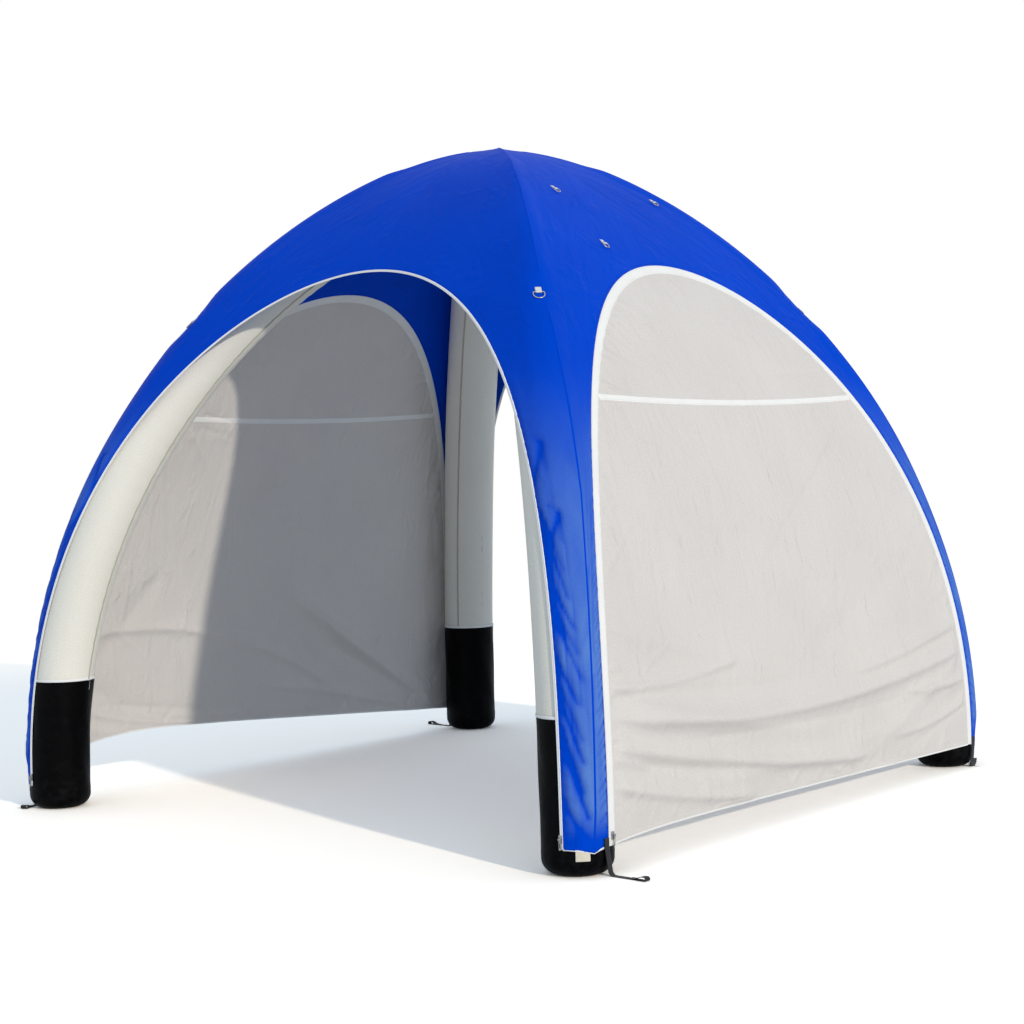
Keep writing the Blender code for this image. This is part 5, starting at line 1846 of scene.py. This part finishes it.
@dataclass
class AnchorStrap:
    """Black webbing sewn to the hem, hanging to the ground and ending in a loop."""

    leg: Leg
    heading: float
    webbing: Material
    width: float = 0.025
    thickness: float = 0.0018
    drop_reach: float = 1.4855
    edge: float = 1.3645
    sewn: float = 0.03
    bend: float = 0.016
    reach: float = 0.10
    loop_length: float = 0.06
    loop_height: float = 0.014
    lean: float = 0.02
    ground_gap: float = 0.001
    lap: float = 0.0021

    def line(self) -> Array:
        """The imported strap's middle line on smooth curves: a drop, a bend, the ground and a loop.

        Returns:
            Points of (out, up).
        """
        low = self.ground_gap
        down = np.linspace(FORM.hem + self.sewn, low + self.bend, 26)
        turn = np.linspace(0, np.pi / 2, 12)
        foot = np.stack([self.bend * (1 - np.cos(turn)), low + self.bend * (1 - np.sin(turn))], -1)
        radius = self.loop_height / 2
        tip = self.reach + self.loop_length - radius
        ground = np.linspace(self.bend, tip, 30)
        round_tip = np.linspace(-np.pi / 2, np.pi / 2, 14)
        nose = np.stack(
            [tip + radius * np.cos(round_tip), low + radius * (1 + np.sin(round_tip))], -1
        )
        back = np.linspace(0.0, 1.0, 24)
        fall = (2 * radius - self.lap) * (1 - smooth(back * 1.15 - 0.15))
        over = np.stack([tip - (tip - self.reach) * back, low + self.lap + fall], -1)
        end = joined(np.linspace(self.reach, self.reach - self.sewn / 2, 6), low + self.lap)
        parts = (foot, joined(ground, low), nose, over, end)
        return np.concatenate([joined(0.0, down), *(part[1:] for part in parts)])

    def build(self) -> Object:
        """A ribbon whose side direction turns from along the hem to across its lay on the ground.

        Returns:
            The strap.
        """
        line = self.line()
        out, up = line[:, :1], line[:, 1:]
        back = self.leg in (Leg.BACK_RIGHT, Leg.BACK_LEFT)
        across = 1 if back else -1
        outward = 1 if self.leg in (Leg.FRONT_RIGHT, Leg.BACK_RIGHT) else -1
        heading = math.radians(self.heading)
        lay = np.array([math.cos(heading), math.sin(heading), 0.0])
        lay_side = np.array([-lay[1], lay[0], 0.0])
        drop_side = np.array([0.0, float(outward), 0.0])
        share = smooth(np.clip(2 * out / self.reach, 0, 1))
        side = unit((1 - share) * drop_side + share * lay_side + 1e-9)
        lean = np.array([0.0, -across, 0.0]) * self.lean * np.clip(1 - up / FORM.hem, 0, 1)
        start = np.array([outward * self.drop_reach, across * self.edge, 0.0])
        middle = start + lean + lay * out + np.array([0.0, 0.0, 1.0]) * up
        wide = np.linspace(-0.5, 0.5, 11)[None, :, None] * self.width
        points = middle[:, None] + wide * side[:, None]
        uv = joined(wide[..., 0] + self.width / 2, arc_length(middle)[:, None])
        name, below = f"anchor_webbing_{self.leg.label}", np.array([0.0, 0.0, -0.5])
        strap = thin_piece(name, self.webbing, points, uv, self.thickness, below)
        return settle(strap, "tent", "black_webbing", f"anchor_strap_{self.leg.label}")


# Where each strap's loop points on the ground, in degrees from +X
STRAP_HEADINGS = {
    Leg.FRONT_RIGHT: -5.0, Leg.BACK_RIGHT: 113.0, Leg.BACK_LEFT: 175.0, Leg.FRONT_LEFT: 293.0,
}


# Stage, light and camera


@dataclass(frozen=True)
class Studio:
    """A white floor and surround, a low sun from the right and a camera."""

    lens: float = 73.65
    camera_at: tuple[float, float, float] = (5.6075, -7.0044, 1.44)
    pitch: float = 1.71
    yaw: float = -0.17
    roll: float = -1.63
    bearing: float = 38.68
    sun: float = 1.85
    sun_azimuth: float = -17.0
    sun_height: float = 20.0
    sun_spread: float = 1.6
    sun_colour: tuple[float, float, float] = (1.0, 0.93, 0.82)
    fill: float = 0.60
    fill_colour: tuple[float, float, float, float] = (0.72, 0.85, 1.0, 1.0)
    white: tuple[float, float, float, float] = (1.0, 1.0, 1.0, 1.0)
    floor_radius: float = 40.0
    floor_glow: float = 0.03
    # What the camera sees of the floor beside its own white
    floor_boost: tuple[float, float, float, float] = (0.91, 0.79, 0.64, 1.0)
    # The floor turns into the plain surround between these distances from the tent's middle
    fade: tuple[float, float] = (4.6, 9.0)

    def camera(self) -> None:
        """Aim along the bearing turned by yaw, tip down by pitch and turn by roll about the aim."""
        turns = (self.pitch, self.roll, self.bearing + self.yaw)
        pitch, roll, yaw = (math.radians(turn) for turn in turns)
        level = math.cos(pitch)
        look = Vector((-math.sin(yaw) * level, math.cos(yaw) * level, -math.sin(pitch)))
        right = look.cross(Vector((0, 0, 1))).normalized()
        up = right.cross(look)
        turned_right = right * math.cos(roll) + up * math.sin(roll)
        turned_up = up * math.cos(roll) - right * math.sin(roll)
        data = bpy.data.cameras.new("camera")
        data.lens = self.lens
        data.sensor_width = 36.0
        data.sensor_fit = "HORIZONTAL"
        data.clip_end = 200.0
        item = bpy.data.objects.new("camera", data)
        axes = Matrix((turned_right, turned_up, -look)).transposed().to_4x4()
        item.matrix_world = Matrix.Translation(self.camera_at) @ axes
        bpy.context.scene.collection.objects.link(item)
        bpy.context.scene.camera = item

    def lights(self) -> None:
        """One low sun from the right; the white surround fills the shade."""
        lamp = bpy.data.lights.new("sun", "SUN")
        lamp.energy = self.sun
        lamp.angle = math.radians(self.sun_spread)
        lamp.color = self.sun_colour
        item = bpy.data.objects.new("sun", lamp)
        azimuth, height = math.radians(self.sun_azimuth), math.radians(self.sun_height)
        level = math.cos(height)
        aim = Vector((level * math.cos(azimuth), level * math.sin(azimuth), math.sin(height)))
        item.rotation_euler = aim.to_track_quat("Z", "Y").to_euler()
        bpy.context.scene.collection.objects.link(item)

    def world(self) -> None:
        """A surround that is white to the camera and in reflections and dimmer as a light."""
        world = bpy.data.worlds.new("surround")
        world.use_nodes = True
        tree = world.node_tree
        tree.nodes.clear()
        path = add_node(tree, "LightPath")
        seen = add_node(tree, "Math", {
            0: path.outputs["Is Camera Ray"], 1: path.outputs["Is Glossy Ray"],
        }, operation="MAXIMUM")
        seen = add_node(tree, "Math", {
            0: seen, 1: path.outputs["Is Transmission Ray"],
        }, operation="MAXIMUM")
        strength = add_node(tree, "MapRange", {"Value": seen, "To Min": self.fill, "To Max": 1.0})
        back = add_node(tree, "Background", {"Strength": strength})
        white = blend(tree, seen, self.fill_colour, self.white)
        feed(tree, back, {"Color": white})
        out = add_node(tree, "OutputWorld", {"Surface": back})
        tree.nodes.active = out
        bpy.context.scene.world = world

    def floor_finish(self) -> Material:
        """Matt white card that the camera sees as white as the surround it fades into far away.

        Returns:
            The floor's material.
        """
        material, tree, shader = new_material("matt white card")
        place = add_node(tree, "TexCoord").outputs["Object"]
        feed(tree, shader, {
            "Base Color": linear("ECECEC"), "Roughness": 0.95, "Specular IOR Level": 0.0,
        })
        path = add_node(tree, "LightPath")
        glow = product(tree, path.outputs["Is Camera Ray"], self.floor_glow)
        lit = add_node(tree, "Emission", {"Strength": glow})
        shown = blend(tree, path.outputs["Is Camera Ray"], (0.0, 0.0, 0.0, 1.0), self.floor_boost)
        again = add_node(tree, "BsdfDiffuse", {"Color": shown})
        card = add_node(tree, "AddShader", {0: shader, 1: again})
        card = add_node(tree, "AddShader", {0: card, 1: lit})
        away = add_node(tree, "VectorMath", {0: place}, operation="LENGTH")
        far = add_node(tree, "MapRange", {
            "Value": away.outputs["Value"], "From Min": self.fade[0], "From Max": self.fade[1],
        }, interpolation_type="SMOOTHSTEP")
        seen = product(tree, far, path.outputs["Is Camera Ray"])
        plain = add_node(tree, "Emission", {"Strength": 1.0})
        both = add_node(tree, "MixShader", {0: seen, 1: card, 2: plain})
        feed(tree, tree.nodes["Material Output"], {"Surface": both})
        return material

    def floor(self) -> None:
        """A flat round floor, in rings that grow from its middle, just under the feet."""
        radius = np.concatenate([[0.0], np.geomspace(1.0, self.floor_radius, 12)])[:, None]
        turn = np.linspace(0, 2 * np.pi, 65)[None, :]
        points = joined(radius * np.cos(turn), radius * np.sin(turn), -0.0004)
        skin = Skin()
        skin.grid(points, points[..., :2], np.array([0.0, 0.0, -1.0]))
        skin.build("floor", self.floor_finish())

    def build(self) -> None:
        """Set up the surround, floor, light and camera."""
        self.world()
        self.floor()
        self.lights()
        self.camera()
        bpy.context.scene.view_settings.view_transform = "Standard"


class Finishes:
    """Every finish of the tent, made once."""

    def __init__(self) -> None:
        """Make the materials."""
        # Deep, matt blue with a bluish gloss at grazing angles, and a paler sheen painted on the legs'
        # folds
        self.roof = WovenCloth(
            "oxford polyester, dyed royal blue", "0049D4", "0040C2", 0.5, 0.010, 0.11, 0.003,
            gloss=0.02, gloss_tint="5A8CFF", fold_sheen="5A82CC",
        ).make()
        # Warm pale grey, nearly white in the sun, with soft creases
        self.wall = WovenCloth(
            "oxford polyester, pale grey", "DDD8D3", "D0CAC6", 0.5, 0.014, 0.10, 0.005,
        ).make()
        # Ivory and almost smooth, because the air pulls it tight
        self.sleeve = WovenCloth(
            "coated polyester, ivory", "EFECE2", "E6E2D6", 0.45, 0.003, 0.10, 0.0008,
        ).make()
        # Black with a pebbled grain and grey dust near the ground
        self.vinyl = CoatedVinyl().make()
        # Clean white edges; the ribs and stitches show close up
        self.binding = Tape("polyester binding, white", "FAFAF9", "EEEEEC", 0.03).make()
        self.tape = Tape("grosgrain tape, white", "F9F8F6", "EBEAE6", 0.034).make()
        self.tab = Tape("polyester webbing, white", "EDEDE8", "CFCFC8", 0.024).make()
        # A line a shade darker than the sleeve
        self.sleeve_seam = Tape("felled seam, ivory", "D2CDBC", "A8A28E", 0.018, 0.6).make()
        self.webbing = Tape("polypropylene webbing, black", "17171A", "2B2B2F", 0.025, 0.7).make()
        # Small bright points
        self.steel = HardSurface(
            "nickel-plated steel", "C9C7C2", "9C9A94", 0.22, 0.2, wear=(300.0, 4.0),
            grain=(300.0, 4.0), grain_strength=0.1, grain_height=0.0002, metallic=1.0,
        ).make()
        # Satin plastic, a little worn
        self.black = HardSurface("moulded polypropylene, black", "161618", "2C2C2E").make()
        self.white = HardSurface("moulded polyamide, white", "E6E6E0", "D2D2CA").make()
        # A fuzzy, cream square
        self.pile = LoopPile().make()
        # Stands in for the bladder's clear film, which the sleeves hide
        self.film = HardSurface("polyurethane film, clear", "D8DDE0", "C4CACE", 0.25).make()


def dents() -> list[Dent]:
    """Where the roof lies flat under its ring tabs, below each ring's bar.

    Returns:
        One flat place for each of the seven rings.
    """
    made = []
    for place in (*(RIDGE_PLACE.turn(leg.value) for leg in Leg), *ROOF_PLACES.values()):
        out = unit(np.array(place.z_axis))
        made.append(Dent(tuple(np.array(place.origin) - BAR_HEIGHT * out), tuple(out)))
    return made


def build_roof(finishes: Finishes) -> None:
    """Args:
        finishes: the tent's finishes.
    """
    canopy = Canopy(finishes.roof, finishes.binding, dents())
    panels = (f"roof_panel_{side.label}" for side in Side)
    roof = settle(canopy.build(), "tent", "roof_cloth", *panels)
    trims = [
        settle(canopy.build_door_edge(side), "tent", "white_tape", f"door_zip_{side.label}")
        for side in (Side.FRONT, Side.BACK)
    ]
    for side in (Side.RIGHT, Side.LEFT):
        trims.append(settle(canopy.build_wall_edge(side), "tent", "roof_cloth"))
        for sign in (-1, 1):
            trims.append(settle(canopy.build_ridge_seam(side, sign), "tent", "roof_cloth"))
    trims += [settle(canopy.build_hem(leg), "tent", "white_tape") for leg in Leg]


def build_rings(finishes: Finishes) -> None:
    """Build the four large rings on the ridges and the three small ones on the right roof panel.

    Args:
        finishes: the tent's finishes.
    """
    for leg in Leg:
        TieRing(
            leg.label, RIDGE_PLACE.turn(leg.value), finishes.steel, finishes.tab,
        ).build(f"ridge_ring_{leg.label}", f"ridge_tab_{leg.label}", f"ring_{leg.label}")
    for name, place in ROOF_PLACES.items():
        TieRing(
            f"roof_{name}", place, finishes.steel, finishes.tab,
            width=0.030, depth=0.024, tab_width=0.016, tab_length=0.024,
        ).build(f"roof_ring_{name}", f"roof_tab_{name}", f"ring_roof_{name}")


def dress_nodes(finishes: Finishes) -> None:
    """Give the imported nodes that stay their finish: the zips' metal, the bladder and the valve.

    Args:
        finishes: the tent's finishes.
    """
    named = {"zip": finishes.steel, "air": finishes.film, "valve_plunger": finishes.white}
    for name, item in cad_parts.items():
        if not item.hide_render:
            found = [material for start, material in named.items() if name.startswith(start)]
            item.data.materials.clear()
            item.data.materials.append(found[0] if found else finishes.black)


def main() -> None:
    """Build the tent's pieces in order, then the stage."""
    logging.basicConfig(level=logging.INFO, format="%(name)s: %(message)s")
    finishes = Finishes()
    build_roof(finishes)
    valve = Dent(VALVE_PLACE.origin, VALVE_PLACE.z_axis, spread=0.04)
    AirBeams(finishes.sleeve, finishes.sleeve_seam, valve).build()
    Feet(finishes.vinyl, finishes.binding).build()
    FootPatch(finishes.pile).build()
    for shape in WALL_SHAPES:
        Wall(shape, finishes.wall, finishes.tape).build()
    build_rings(finishes)
    for leg, heading in STRAP_HEADINGS.items():
        AnchorStrap(leg, heading, finishes.webbing).build()
    dress_nodes(finishes)
    Studio().build()
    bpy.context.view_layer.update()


if __name__ == "__main__":
    main()
